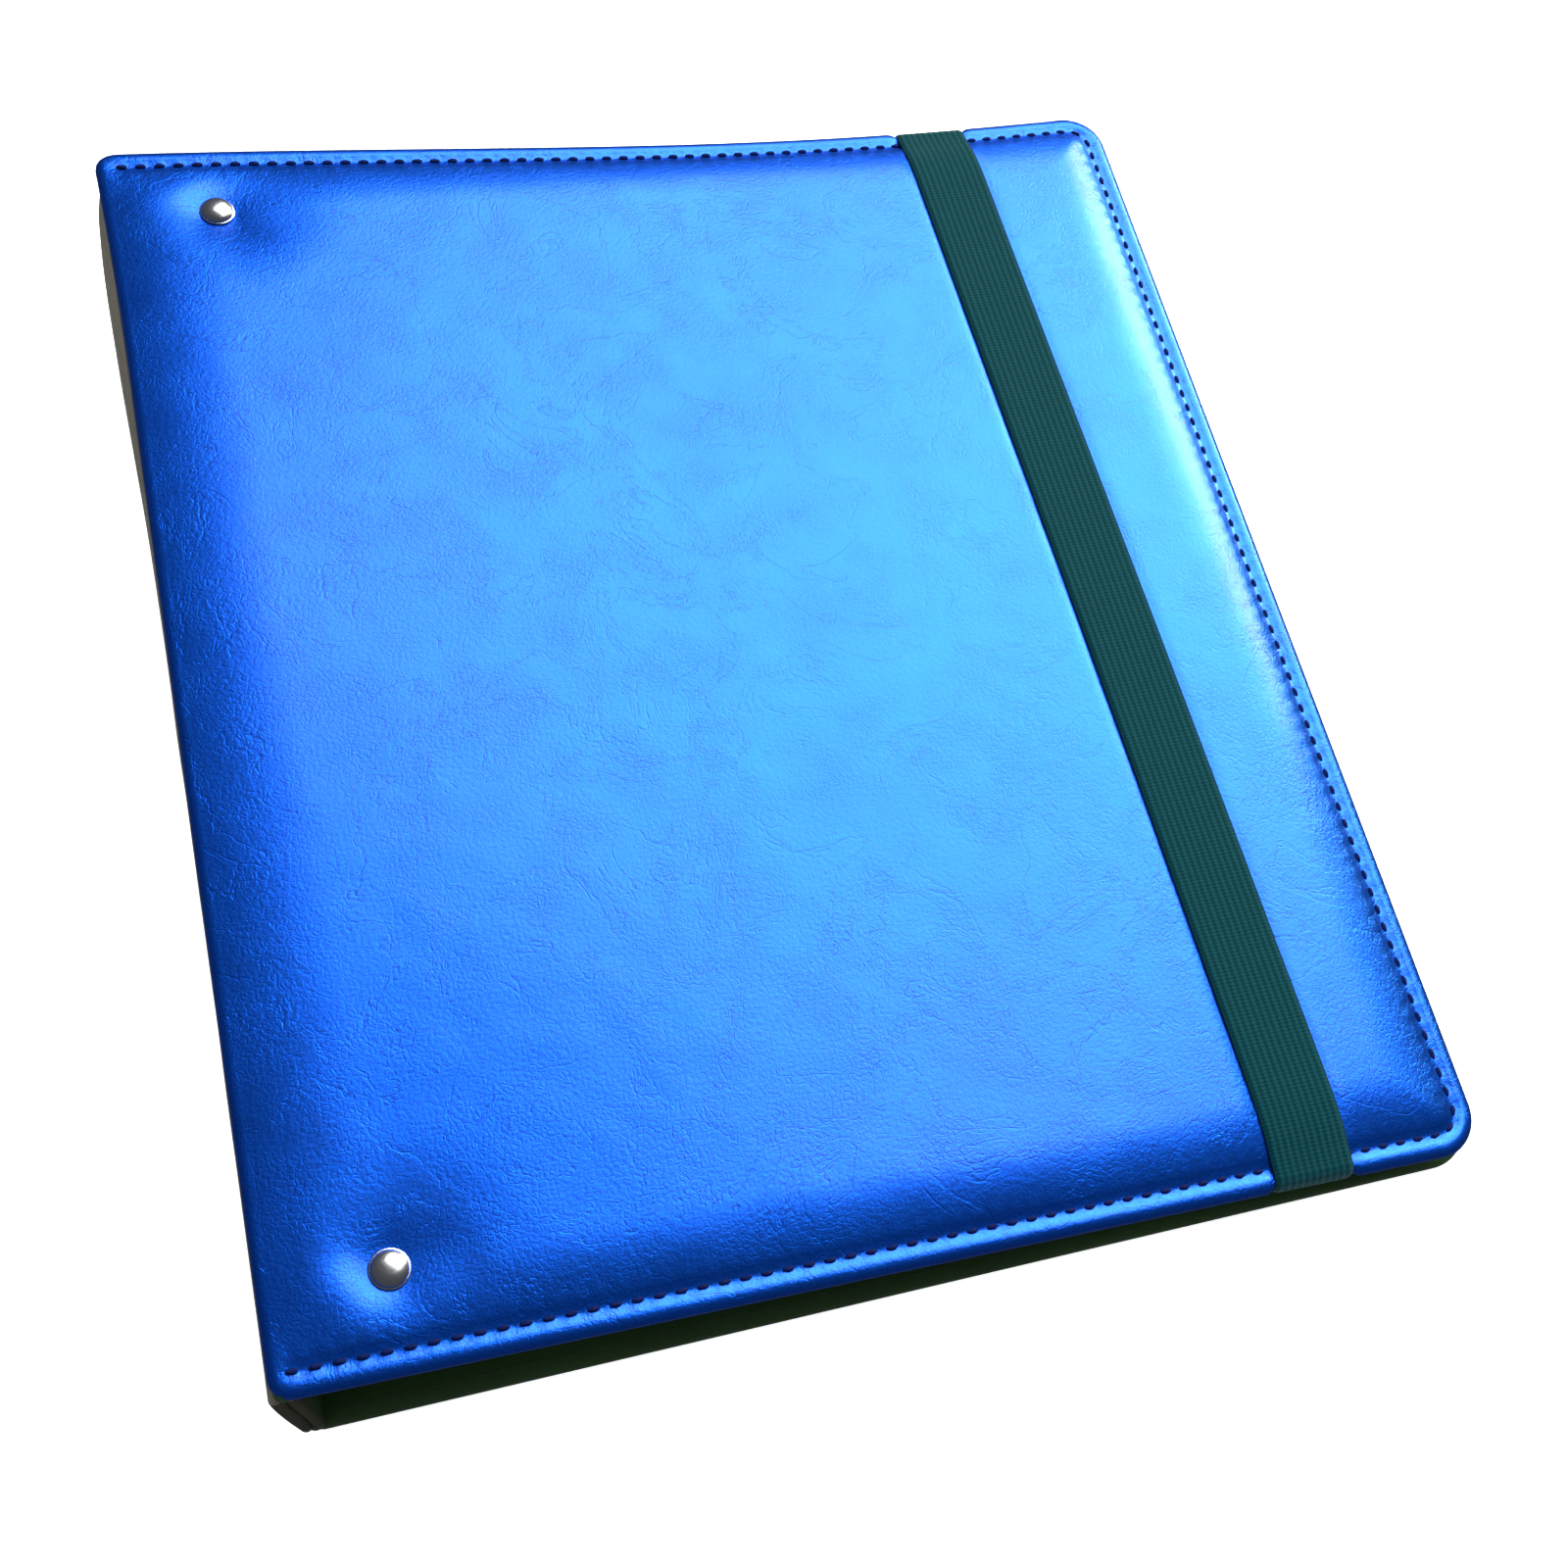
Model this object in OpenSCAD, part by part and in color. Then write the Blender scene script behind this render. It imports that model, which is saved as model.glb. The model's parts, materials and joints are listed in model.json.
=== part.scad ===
// Ring binder for trading-card pages: two padded, stitched covers hinged to a
// spine panel, a three-ring D mechanism riveted under the upper cover, six
// nine-pocket pages on its posts and an elastic strap round the upper cover.
// Millimetres. +X runs from the spine to the fore edge, +Y along the spine
// towards the head, +Z up. The origin is the middle of the footprint.

/* [Covers] */
// Width of each cover, spine edge to fore edge
cover_w = 276; // [255:1:332]
// Height of each cover, along the spine
cover_h = 312; // [305:1:375]
// Radius of the two fore-edge corners
corner_r = 11; // [6:0.5:16]
// Thickness of the outer leathercloth
skin_t = 1.2; // [0.8:0.1:1.6]
// Thickness of the greyboard in each cover
board_t = 2.6; // [2:0.1:3.4]
// Thickness of the inner lining
lining_t = 1.2; // [0.8:0.1:1.6]
// Thickness of the foam pad under the leathercloth
foam_t = 2.5; // [1.5:0.1:4]
// Distance from a cover's edge to its stitch line
stitch_inset = 5.2; // [4:0.1:7]
// Distance from the stitch line to the pad's full height
pad_slope = 6.5; // [4:0.5:12]
// Diameter of the sewing thread
thread_d = 0.9; // [0.5:0.1:1.2]

/* [Spine] */
// Distance between the two hinge lines
hinge_span = 47; // [47:1:60]
// Room between the two linings at the fore edge
fore_gap = 5; // [5:0.5:12]
// Radius of the leather fold on each hinge line
fold_r = 2.2; // [1.8:0.1:2.2]
// Thickness of the spine's foam
spine_foam_t = 1.5; // [1:0.1:2.5]
// Thickness of the spine's board
spine_board_t = 1.8; // [1.2:0.1:2]
// Thickness of the spine's lining
spine_lining_t = 1; // [0.6:0.1:1.2]
// How far the spine stands out past the covers' spine edges
spine_proud = 0.8; // [0.6:0.1:1.2]

/* [Ring mechanism] */
// Distance from the spine edge to the mechanism's centre line
mech_x = 26; // [25:0.5:34]
// Distance between the two rivets
rivet_span = 270; // [256:1:290]
// Diameter of a rivet's domed head
rivet_head_d = 9; // [7:0.5:11]
// Height of a rivet's domed head
rivet_head_h = 2.3; // [1.6:0.1:3]
// Diameter of a rivet's shank
rivet_shank_d = 3.8; // [3:0.1:4.4]
// Distance between neighbouring rings
ring_pitch = 108; // [80:1:112]
// Diameter of the ring wire
wire_d = 3; // [2.4:0.1:3.4]
// Height of the rings' centre line above the lining
ring_h = 34; // [32:0.5:34]
// Radius of the curved half's bends
ring_curve_r = 12; // [9:0.5:12.5]
// Distance from the centre line to the straight posts
post_x = 10; // [9.5:0.25:11]
// Radius of the bend at the top of a straight post
post_bend_r = 6; // [4:0.5:7]
// Height of the metal housing
housing_h = 7.2; // [6.4:0.1:8]
// Thickness of the housing's sheet metal
housing_t = 1; // [0.6:0.1:1.2]
// Thickness of the two spring blades
blade_t = 0.9; // [0.6:0.1:1.2]
// Length of each opening lever's tab
lever_len = 9.5; // [7:0.5:12]

/* [Pages] */
// Number of pages on the rings
page_count = 6; // [4:1:6]
// Width of a page, with its punched margin
page_w = 235; // [215:1:238]
// Height of a page
page_h = 284; // [270:1:284]
// Thickness of a page's centre sheet
page_t = 0.4; // [0.2:0.1:0.5]
// Thickness of the pocket film on each face
film_t = 0.15; // [0.1:0.05:0.2]
// Width of the weld between two pockets
weld_w = 3; // [2:0.5:6]
// Width of the punched margin
margin_w = 20; // [18:1:26]
// Distance from a page's bound edge to its punched slots
slot_margin = 9; // [8.5:0.5:12]
// Length of a punched slot, across the page
slot_len = 14; // [13.5:0.5:14.5]
// Width of a punched slot, along the spine
slot_w = 6; // [5:0.5:8]
// Height of the first page on the posts, above the lining
page_first = 9; // [8.5:0.5:11]
// Step from page to page on the posts
page_step = 2.5; // [2:0.25:2.5]

/* [Strap] */
// Width of the elastic strap
strap_w = 20; // [12:1:30]
// Thickness of the elastic strap
strap_t = 1.2; // [0.8:0.1:1.6]
// Distance from the spine edge to the strap's middle at the head
strap_head_x = 224; // [200:1:236]
// Distance from the spine edge to the strap's middle at the tail
strap_tail_x = 231; // [200:1:240]
// Length of strap sewn under each edge of the cover
strap_tuck = 10; // [6:0.5:11]

/* [Hidden] */
$fn = 64;
gap = 0.05;      // between neighbouring pieces of one body
play = 0.3;      // between pieces that move past each other
over = 1;        // how far a cut runs past the face it opens
pin_play = 0.05; // radial clearance of a running pin

rim_t = skin_t + board_t + lining_t;
half_t = rim_t / 2;
reach = cover_w - half_t;
cut_r = fold_r + play;
pad_top = half_t + foam_t;
pad_inset = stitch_inset + pad_slope;
board_inset = skin_t + gap;
tilt = asin((hinge_span - rim_t - fore_gap) / reach);

spine_out = half_t + spine_proud;
spine_end = cut_r + (half_t + fold_r) * tan(tilt) + play;
hinge_x = (spine_out - reach) / 2;
low_hinge_z = foam_t + half_t;
top_hinge_z = low_hinge_z + hinge_span;

mech_c = mech_x - half_t;
wire_r = wire_d / 2;
tip_gap = gap / 2;
blade_v = 3.2;
blade_top = blade_v + blade_t / 2;
foot_x = post_x - 2;
housing_w = 2 * post_x + 5;
crown_w = 14;    // flat top of the housing
lip_h = 2;       // upright edge of the housing
housing_len = rivet_span + 12;
notch_play = 1.2;
blade_len = rivet_span - 16;
blade_reach = post_x - 1.2;
ear_w = wire_d + 1;
hole_r = rivet_shank_d / 2 + 0.2;
flare_r = 3.4;
collar_r = 3.6;
dimple_z = half_t + 0.2;
dimple_r = rivet_head_d / 2 + 0.6;
dimple_top_r = dimple_r + 9;
head_seat = dimple_z + gap;
flare_t = 0.8;
pin_r = 1;
barrel_r = 2;
lever_w = 17;
lever_rest = 35;
pin_y = housing_len / 2 + 3;
pin_v = 5;
lug_t = 2;
lug_x = lever_w / 2 + 1.5;
tab_t = 1.6;

page_reach = page_w - slot_margin;
page_fore_x = mech_c + post_x + page_reach;
fore_room = (hinge_span - half_t - page_fore_x * sin(tilt)) / cos(tilt) - half_t;
page_full_t = page_t + 2 * film_t;
page_fore_first = max(page_full_t, 0.14 * fore_room);
page_fore_step = (fore_room - 2 * page_fore_first) / (page_count - 1);
pocket_w = (page_w - margin_w - 4 * weld_w) / 3;
pocket_h = (page_h - 4 * weld_w) / 3;

strap_skew = atan((strap_tail_x - strap_head_x) / cover_h);
strap_mid_x = (strap_head_x + strap_tail_x) / 2 - half_t;

PAGES = [for (i = [1:page_count]) i];
RINGS = [1, 2, 3];

// ---- frames ----

// The upper cover's frame: origin on its hinge line, +X to the fore edge, +Z outwards.
module in_upper_cover() {
    translate([hinge_x, 0, top_hinge_z]) rotate([0, tilt, 0]) children();
}

// The lower cover's frame: the same, with +Z outwards, which is down.
module in_lower_cover() {
    translate([hinge_x, 0, low_hinge_z]) mirror([0, 0, 1]) children();
}

// The mechanism's frame: origin on the lining, +X to the fore edge, +Z away from the cover.
module in_mechanism() {
    in_upper_cover() translate([mech_c, 0, -half_t]) mirror([0, 0, 1]) children();
}

// A page's frame: origin on its slots' centre line, +X to its fore edge.
module in_page(i) {
    post_v = page_first + (i - 1) * page_step;
    fore_v = page_fore_first + (i - 1) * page_fore_step;
    in_mechanism() translate([post_x, 0, post_v])
        rotate([0, atan((post_v - fore_v) / page_reach), 0]) children();
}

// Children once at the head and mirrored at the tail, or at one end only.
module at_end(side) {
    if (side > 0) children();
    else mirror([0, 1, 0]) children();
}

// ---- cover layers ----

// A plate of the cover's outline, drawn in by inset, with round fore-edge corners.
module cover_plate(z0, z1, inset = 0, spine_inset = 0) {
    fore_r = max(corner_r - inset, 1);
    x1 = reach - inset;
    y1 = cover_h / 2 - inset;
    difference() {
        translate([0, 0, z0]) linear_extrude(z1 - z0) difference() {
            translate([spine_inset, -y1]) square([x1 - spine_inset, 2 * y1]);
            for (s = [-1, 1]) corner_cut(x1, s * y1, fore_r, s);
        }
        hinge_cut();
    }
}

// What a round corner takes away from a square one.
module corner_cut(x, y, r, s) {
    difference() {
        translate([x - r, s > 0 ? y - r : y - over]) square([r + over, r + over]);
        translate([x - r, y - s * r]) circle(r);
    }
}

// The room that a cover leaves for the fold on its hinge line.
module hinge_cut() {
    rotate([90, 0, 0]) cylinder(r = cut_r, h = cover_h + 2 * over, center = true);
}

module at_rivets() {
    for (s = [-1, 1]) translate([mech_c, s * rivet_span / 2, 0]) children();
}

module rivet_holes(z0, z1) {
    at_rivets() translate([0, 0, z0 - over]) cylinder(r = hole_r, h = z1 - z0 + 2 * over);
}

// The foam pad, grown all round to make the hollow it lies in. A riveted pad
// falls away round each rivet.
module foam_plate(riveted, grow = 0) {
    foam_z = half_t - skin_t;
    spine_inset = fold_r + skin_t + 2;
    difference() {
        cover_plate(foam_z - grow, foam_z + foam_t + grow, pad_inset + skin_t - grow, spine_inset - grow);
        if (riveted) at_rivets() translate([0, 0, foam_z - over])
            cylinder(r1 = dimple_r + skin_t - 3 * grow, r2 = dimple_top_r + skin_t - 3 * grow,
                     h = foam_t + 2 * over);
    }
}

// Outer leathercloth: an open tray over the foam and the board.
module cover_skin(riveted) {
    difference() {
        union() {
            cover_plate(lining_t - half_t + gap, half_t);
            cover_plate(half_t - over, pad_top, pad_inset, fold_r + 2);
        }
        cover_plate(lining_t - half_t - over, half_t - skin_t + gap, board_inset, -over);
        foam_plate(riveted, gap);
        if (riveted) {
            rivet_holes(-half_t, pad_top);
            at_rivets() translate([0, 0, dimple_z])
                cylinder(r1 = dimple_r, r2 = dimple_top_r, h = pad_top - dimple_z + 0.01);
        }
    }
}

module cover_board(riveted) {
    difference() {
        cover_plate(lining_t - half_t + gap, half_t - skin_t, board_inset + gap);
        if (riveted) rivet_holes(-half_t, half_t);
    }
}

module cover_lining(riveted) {
    difference() {
        cover_plate(-half_t, lining_t - half_t);
        if (riveted) rivet_holes(-half_t, half_t);
    }
}

// The thread's line round three edges, on the rim.
module cover_stitching() {
    thread_r = thread_d / 2;
    difference() {
        cover_plate(half_t + gap, half_t + gap + thread_r, stitch_inset - thread_r, 8);
        cover_plate(half_t - over, half_t + over, stitch_inset + thread_r, -over);
    }
}

module upper_skin() {
    color("royalblue") in_upper_cover() cover_skin(true);
}

module upper_foam() {
    color("ivory") in_upper_cover() foam_plate(true);
}

module upper_board() {
    color("darkgray") in_upper_cover() cover_board(true);
}

module upper_lining() {
    color("black") in_upper_cover() cover_lining(true);
}

module upper_stitching() {
    color("navy") in_upper_cover() cover_stitching();
}

module lower_skin() {
    color("royalblue") in_lower_cover() cover_skin(false);
}

module lower_foam() {
    color("ivory") in_lower_cover() foam_plate(false);
}

module lower_board() {
    color("darkgray") in_lower_cover() cover_board(false);
}

module lower_lining() {
    color("black") in_lower_cover() cover_lining(false);
}

module lower_stitching() {
    color("navy") in_lower_cover() cover_stitching();
}

// ---- spine ----

// One upright layer of the spine, from x = x0 to x0 + t beside the hinge line.
module spine_layer(x0, t) {
    translate([hinge_x + x0, -cover_h / 2, low_hinge_z + spine_end])
        cube([t, cover_h, hinge_span - 2 * spine_end]);
}

spine_foam_x = skin_t - spine_out;
spine_board_x = spine_foam_x + spine_foam_t;
spine_lining_x = spine_board_x + spine_board_t;

module spine_skin() {
    color("tan") spine_layer(-spine_out, skin_t);
}

module spine_foam() {
    color("ivory") spine_layer(spine_foam_x, spine_foam_t);
}

module spine_board() {
    color("darkgray") spine_layer(spine_board_x, spine_board_t);
}

module spine_lining() {
    color("tan") spine_layer(spine_lining_x, spine_lining_t);
}

// The rolled leather on a hinge line, with the web that joins it to the spine panel.
module hinge_fold(z, down) {
    translate([hinge_x, 0, z]) {
        rotate([90, 0, 0]) cylinder(r = fold_r, h = cover_h, center = true);
        translate([-fold_r, -cover_h / 2, down ? -spine_end : 0]) cube([skin_t, cover_h, spine_end]);
    }
}

module upper_hinge_fold() {
    color("tan") hinge_fold(top_hinge_z, true);
}

module lower_hinge_fold() {
    color("tan") hinge_fold(low_hinge_z, false);
}

// ---- ring mechanism ----

module housing_profile() {
    w = housing_w / 2;
    c = crown_w / 2;
    wall = housing_t;
    polygon([
        [-w, 0], [-w, lip_h], [-c, housing_h], [c, housing_h], [w, lip_h], [w, 0],
        [w - wall, 0], [w - wall, lip_h - 0.3 * wall], [c - 0.4 * wall, housing_h - wall],
        [0.4 * wall - c, housing_h - wall], [wall - w, lip_h - 0.3 * wall], [wall - w, 0]
    ]);
}

// Along-the-spine extrusion of a profile drawn in x and height.
module along_spine(len) {
    rotate([90, 0, 0]) translate([0, 0, -len / 2]) linear_extrude(len) children();
}

module at_rings() {
    for (i = RINGS) translate([0, (i - 2) * ring_pitch, 0]) children();
}

module ring_housing() {
    notch_w = wire_d + 2;
    post_notch_x = post_x - wire_r - notch_play;
    foot_notch_x = foot_x - wire_r - notch_play;
    color("silver") in_mechanism() difference() {
        union() {
            along_spine(housing_len) housing_profile();
            for (s = [-1, 1], e = [-1, 1])
                translate([s * lug_x - lug_t / 2, e > 0 ? housing_len / 2 - 2 : -pin_y - 3, pin_v - 3])
                    cube([lug_t, pin_y + 5 - housing_len / 2, 5]);
        }
        at_rings() {
            translate([post_notch_x, -notch_w / 2, -over]) cube([housing_w, notch_w, housing_h + 2 * over]);
            translate([-foot_notch_x - housing_w, -notch_w / 2, -over])
                cube([housing_w, notch_w, housing_h + 2 * over]);
        }
        for (s = [-1, 1]) {
            translate([0, s * rivet_span / 2, 0]) cylinder(r = hole_r, h = housing_h + over);
            translate([0, s * pin_y, pin_v]) rotate([0, 90, 0])
                cylinder(r = pin_r + 0.02, h = 2 * lug_x + 10, center = true);
        }
    }
}

// A spring blade from x0 to x1, with an ear under each ring half out to ear_x0 and ear_x1.
module blade(x0, x1, ear_x0, ear_x1) {
    translate([0, 0, blade_v - blade_t / 2]) {
        translate([x0, -blade_len / 2, 0]) cube([x1 - x0, blade_len, blade_t]);
        at_rings() translate([ear_x0, -ear_w / 2, 0]) cube([ear_x1 - ear_x0, ear_w, blade_t]);
    }
}

module straight_blade() {
    color("gainsboro") in_mechanism() blade(play, blade_reach, 1, post_x + wire_r + play);
}

module curved_blade() {
    color("gainsboro") in_mechanism() blade(-blade_reach, 0, -foot_x - wire_r - play, -1);
}

// A bend of the wire in the x-height plane, about [x, v], from angle a through sweep.
module wire_bend(x, v, r, a, sweep) {
    translate([x, 0, v]) rotate([90, 0, 0]) rotate([0, 0, a])
        rotate_extrude(angle = sweep) translate([r, 0]) circle(wire_r);
}

// A straight run of the wire from [x, v], upwards or along x.
module wire_up(x, v, len) {
    translate([x, 0, v]) cylinder(r = wire_r, h = len);
}

module wire_along(x, v, len) {
    translate([x, 0, v]) rotate([0, 90, 0]) cylinder(r = wire_r, h = len);
}

module straight_ring(i) {
    bend_x = post_x - post_bend_r;
    bend_v = ring_h - post_bend_r;
    color("silver") in_mechanism() translate([0, (i - 2) * ring_pitch, 0]) {
        wire_up(post_x, blade_top, bend_v - blade_top);
        wire_bend(bend_x, bend_v, post_bend_r, 0, 90);
        wire_along(tip_gap, ring_h, bend_x - tip_gap);
    }
}

module curved_ring(i) {
    top_v = ring_h - ring_curve_r;
    foot_a = acos(foot_x / ring_curve_r);
    foot_len = 2.4;
    low_v = blade_top + foot_len + ring_curve_r * sin(foot_a);
    color("silver") in_mechanism() translate([0, (i - 2) * ring_pitch, 0]) {
        wire_bend(-tip_gap, top_v, ring_curve_r, 90, 90);
        wire_up(-tip_gap - ring_curve_r, low_v, top_v - low_v);
        wire_bend(-tip_gap, low_v, ring_curve_r, 180, foot_a);
        wire_up(-tip_gap - foot_x, blade_top, foot_len + 0.5);
    }
}

module lever(side) {
    color("silver") in_mechanism() at_end(side) translate([0, pin_y, pin_v]) difference() {
        union() {
            rotate([0, 90, 0]) cylinder(r = barrel_r, h = lever_w, center = true);
            rotate([lever_rest, 0, 0])
                translate([-lever_w / 2, 0, -tab_t / 2]) cube([lever_w, lever_len, tab_t]);
        }
        rotate([0, 90, 0]) cylinder(r = pin_r + pin_play, h = lever_w + 2 * over, center = true);
    }
}

module lever_pin(side) {
    color("gray") in_mechanism() at_end(side) translate([0, pin_y, pin_v])
        rotate([0, 90, 0]) cylinder(r = pin_r, h = 2 * lug_x + lug_t, center = true);
}

module rivet(side) {
    head_r = rivet_head_d / 2;
    ball_r = (head_r * head_r + rivet_head_h * rivet_head_h) / (2 * rivet_head_h);
    foot_z = -half_t - housing_h - gap;
    color("silver") in_upper_cover() translate([mech_c, side * rivet_span / 2, 0]) {
        intersection() {
            translate([0, 0, head_seat + rivet_head_h - ball_r]) sphere(ball_r);
            translate([0, 0, head_seat]) cylinder(r = head_r + over, h = rivet_head_h + over);
        }
        translate([0, 0, foot_z]) cylinder(r = rivet_shank_d / 2, h = head_seat - foot_z);
        translate([0, 0, foot_z - flare_t]) cylinder(r = flare_r, h = flare_t);
    }
}

module collar(side) {
    color("gray") in_mechanism() translate([0, side * rivet_span / 2, gap]) difference() {
        cylinder(r = collar_r, h = housing_h - housing_t - 2 * gap);
        translate([0, 0, -over]) cylinder(r = hole_r, h = housing_h + 2 * over);
    }
}

// ---- elastic strap ----

module elastic_strap() {
    color("darkslategray") in_upper_cover() translate([strap_mid_x, 0, pad_top + gap])
        rotate([0, 0, strap_skew]) translate([-strap_w / 2, play - cover_h / 2, 0])
            cube([strap_w, cover_h - 2 * play, strap_t]);
}

// The strap's turn round the cover's edge and the tuck under the lining.
module strap_end(side, x) {
    edge_y = cover_h / 2 + gap;
    low_z = -half_t - gap - strap_t;
    color("darkslategray") in_upper_cover() at_end(side)
        translate([x - half_t - strap_w / 2, 0, 0]) {
            translate([0, edge_y, low_z]) cube([strap_w, strap_t, pad_top + strap_t - low_z]);
            translate([0, edge_y - strap_tuck, low_z]) cube([strap_w, strap_tuck + strap_t, strap_t]);
        }
}

// ---- pages ----

module punched_slots() {
    d = slot_len - slot_w;
    at_rings() translate([0, 0, -over]) {
        for (s = [-1, 1]) translate([s * d / 2, 0, 0]) cylinder(d = slot_w, h = 3 * over);
        translate([-d / 2, -slot_w / 2, 0]) cube([d, slot_w, 3 * over]);
    }
}

module page(i) {
    color([0.1, 0.11, 0.1]) in_page(i) difference() {
        translate([-slot_margin, -page_h / 2, -page_t / 2]) cube([page_w, page_h, page_t]);
        punched_slots();
    }
}

// Nine pockets on each face, with a weld's width between them.
module page_pockets(i) {
    x0 = margin_w - slot_margin + weld_w;
    y0 = weld_w - page_h / 2;
    color([0.75, 0.8, 0.82, 0.5]) in_page(i)
        for (s = [-1, 1], c = [0:2], r = [0:2])
            translate([x0 + c * (pocket_w + weld_w), y0 + r * (pocket_h + weld_w),
                       s > 0 ? page_t / 2 : -page_t / 2 - film_t])
                cube([pocket_w, pocket_h, film_t]);
}

// ---- nodes ----

upper_skin();
upper_foam();
upper_board();
upper_lining();
upper_stitching();
lower_skin();
lower_foam();
lower_board();
lower_lining();
lower_stitching();
spine_skin();
spine_foam();
spine_board();
spine_lining();
upper_hinge_fold();
lower_hinge_fold();
ring_housing();
straight_blade();
curved_blade();
for (i = RINGS) {
    straight_ring(i);
    curved_ring(i);
}
lever(1);  // head_lever
lever(-1);  // tail_lever
lever_pin(1);  // head_lever_pin
lever_pin(-1);  // tail_lever_pin
rivet(1);  // head_rivet
rivet(-1);  // tail_rivet
collar(1);  // head_collar
collar(-1);  // tail_collar
elastic_strap();
strap_end(1, strap_head_x);  // head_strap_end
strap_end(-1, strap_tail_x);  // tail_strap_end
for (i = PAGES) {
    page(i);
    page_pockets(i);
}
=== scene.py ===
"""Ring binder for trading-card pages: its looks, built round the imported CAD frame. Metres, +Z up."""

import json
import logging
import math
from dataclasses import dataclass, field
from enum import Enum
from functools import partial
from typing import Callable, Sequence

import bmesh
import bpy
import numpy as np
from mathutils import Matrix, Vector


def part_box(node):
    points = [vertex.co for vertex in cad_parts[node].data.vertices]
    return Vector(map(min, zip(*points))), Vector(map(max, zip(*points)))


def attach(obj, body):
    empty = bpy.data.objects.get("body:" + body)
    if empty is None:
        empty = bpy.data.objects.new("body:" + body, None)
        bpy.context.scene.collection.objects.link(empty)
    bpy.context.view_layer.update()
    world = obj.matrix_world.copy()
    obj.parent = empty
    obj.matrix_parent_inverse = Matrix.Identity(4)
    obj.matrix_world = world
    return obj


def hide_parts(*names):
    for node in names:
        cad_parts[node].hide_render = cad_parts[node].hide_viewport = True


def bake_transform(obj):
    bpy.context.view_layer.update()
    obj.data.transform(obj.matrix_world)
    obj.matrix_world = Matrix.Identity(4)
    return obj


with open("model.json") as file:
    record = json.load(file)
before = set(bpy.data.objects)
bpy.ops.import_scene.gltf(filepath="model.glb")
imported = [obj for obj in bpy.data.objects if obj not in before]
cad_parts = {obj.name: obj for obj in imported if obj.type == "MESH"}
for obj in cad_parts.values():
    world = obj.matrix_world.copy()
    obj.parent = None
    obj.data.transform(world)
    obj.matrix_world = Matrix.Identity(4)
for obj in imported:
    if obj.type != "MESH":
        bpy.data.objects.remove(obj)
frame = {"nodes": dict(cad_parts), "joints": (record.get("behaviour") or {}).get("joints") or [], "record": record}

LOG = logging.getLogger("binder")
MM = 0.001
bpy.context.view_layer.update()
Colour = tuple[float, float, float, float]


# ---------------------------------------------------------------- small tools


def linear(hex_code: str) -> Colour:
    """Turns an sRGB hex colour to linear values.

    Args:
        hex_code: Six hex digits, such as "1565E8".

    Returns:
        Red, green and blue, linear, and an opacity of 1.
    """
    parts = [int(hex_code[i:i + 2], 16) / 255 for i in (0, 2, 4)]
    red, green, blue = (c / 12.92 if c <= 0.04045 else ((c + 0.055) / 1.055) ** 2.4 for c in parts)
    return (red, green, blue, 1.0)


def scale(feature_mm: float) -> float:
    """A texture's scale for features of that size."""
    return 1 / (feature_mm * MM)


def fill_inputs(tree: bpy.types.NodeTree, node: bpy.types.Node, inputs: dict) -> None:
    """Fills in a node's inputs.

    Args:
        tree: The tree that holds the node.
        node: The node.
        inputs: Socket name or index, mapped to a value or to the output socket that feeds it.
    """
    for name, value in inputs.items():
        if isinstance(value, bpy.types.NodeSocket):
            tree.links.new(value, node.inputs[name])
        else:
            node.inputs[name].default_value = value


def add_node(tree: bpy.types.NodeTree, kind: str, inputs: dict | None = None, **settings) -> bpy.types.Node:
    """Adds a node with its settings and its links.

    Args:
        tree: The material's or the modifier's node tree.
        kind: The node's type name.
        inputs: Socket name or index, mapped to a value or to the output socket that feeds it.
        settings: The node's own properties.

    Returns:
        The new node.
    """
    node = tree.nodes.new(kind)
    for name, value in settings.items():
        setattr(node, name, value)
    fill_inputs(tree, node, inputs or {})
    return node


def smooth(t: np.ndarray | float) -> np.ndarray:
    """A smooth step of t, clipped to 0..1."""
    t = np.clip(t, 0.0, 1.0)
    return t * t * (3 - 2 * t)


def bell(x: np.ndarray, width: float) -> np.ndarray:
    """A bell curve of x, 1 at 0 and falling off over width."""
    return np.exp(-((x / width) ** 2))


def soft_noise(x: np.ndarray, y: np.ndarray, cell: float, seed: int) -> np.ndarray:
    """Smooth random values from -1 to 1 over a plane.

    Args:
        x: Places along the first direction.
        y: Places along the second direction.
        cell: Distance between the random values.
        seed: Which random values.

    Returns:
        One value for each place.
    """
    side = 64
    table = np.random.default_rng(seed).uniform(-1, 1, (side, side))
    u, v = x / cell + 1000.5, y / cell + 1000.5
    i, j = np.floor(u).astype(int), np.floor(v).astype(int)
    fu, fv = smooth(u - i), smooth(v - j)
    near = table[i % side, j % side] * (1 - fu) + table[(i + 1) % side, j % side] * fu
    far = table[i % side, (j + 1) % side] * (1 - fu) + table[(i + 1) % side, (j + 1) % side] * fu
    return near * (1 - fv) + far * fv


def make_piece(name: str, points: np.ndarray | Sequence, faces: Sequence, finishes: Sequence,
               marks: Sequence[int] = ()) -> bpy.types.Object:
    """Makes a smooth-shaded mesh object at the origin.

    Args:
        name: The piece's name.
        points: Its corners, in the row frame.
        faces: Its faces, as lists of corner numbers.
        finishes: Its materials.
        marks: The material number of each face, where there is more than one.

    Returns:
        The new object.
    """
    mesh = bpy.data.meshes.new(name)
    mesh.from_pydata([tuple(map(float, p)) for p in points], [], [tuple(map(int, f)) for f in faces])
    for finish in finishes:
        mesh.materials.append(finish)
    if len(marks):
        mesh.polygons.foreach_set("material_index", np.asarray(marks, dtype=np.int32))
    mesh.polygons.foreach_set("use_smooth", np.full(len(faces), True))
    mesh.update()
    piece = bpy.data.objects.new(name, mesh)
    bpy.context.scene.collection.objects.link(piece)
    return piece


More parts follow.
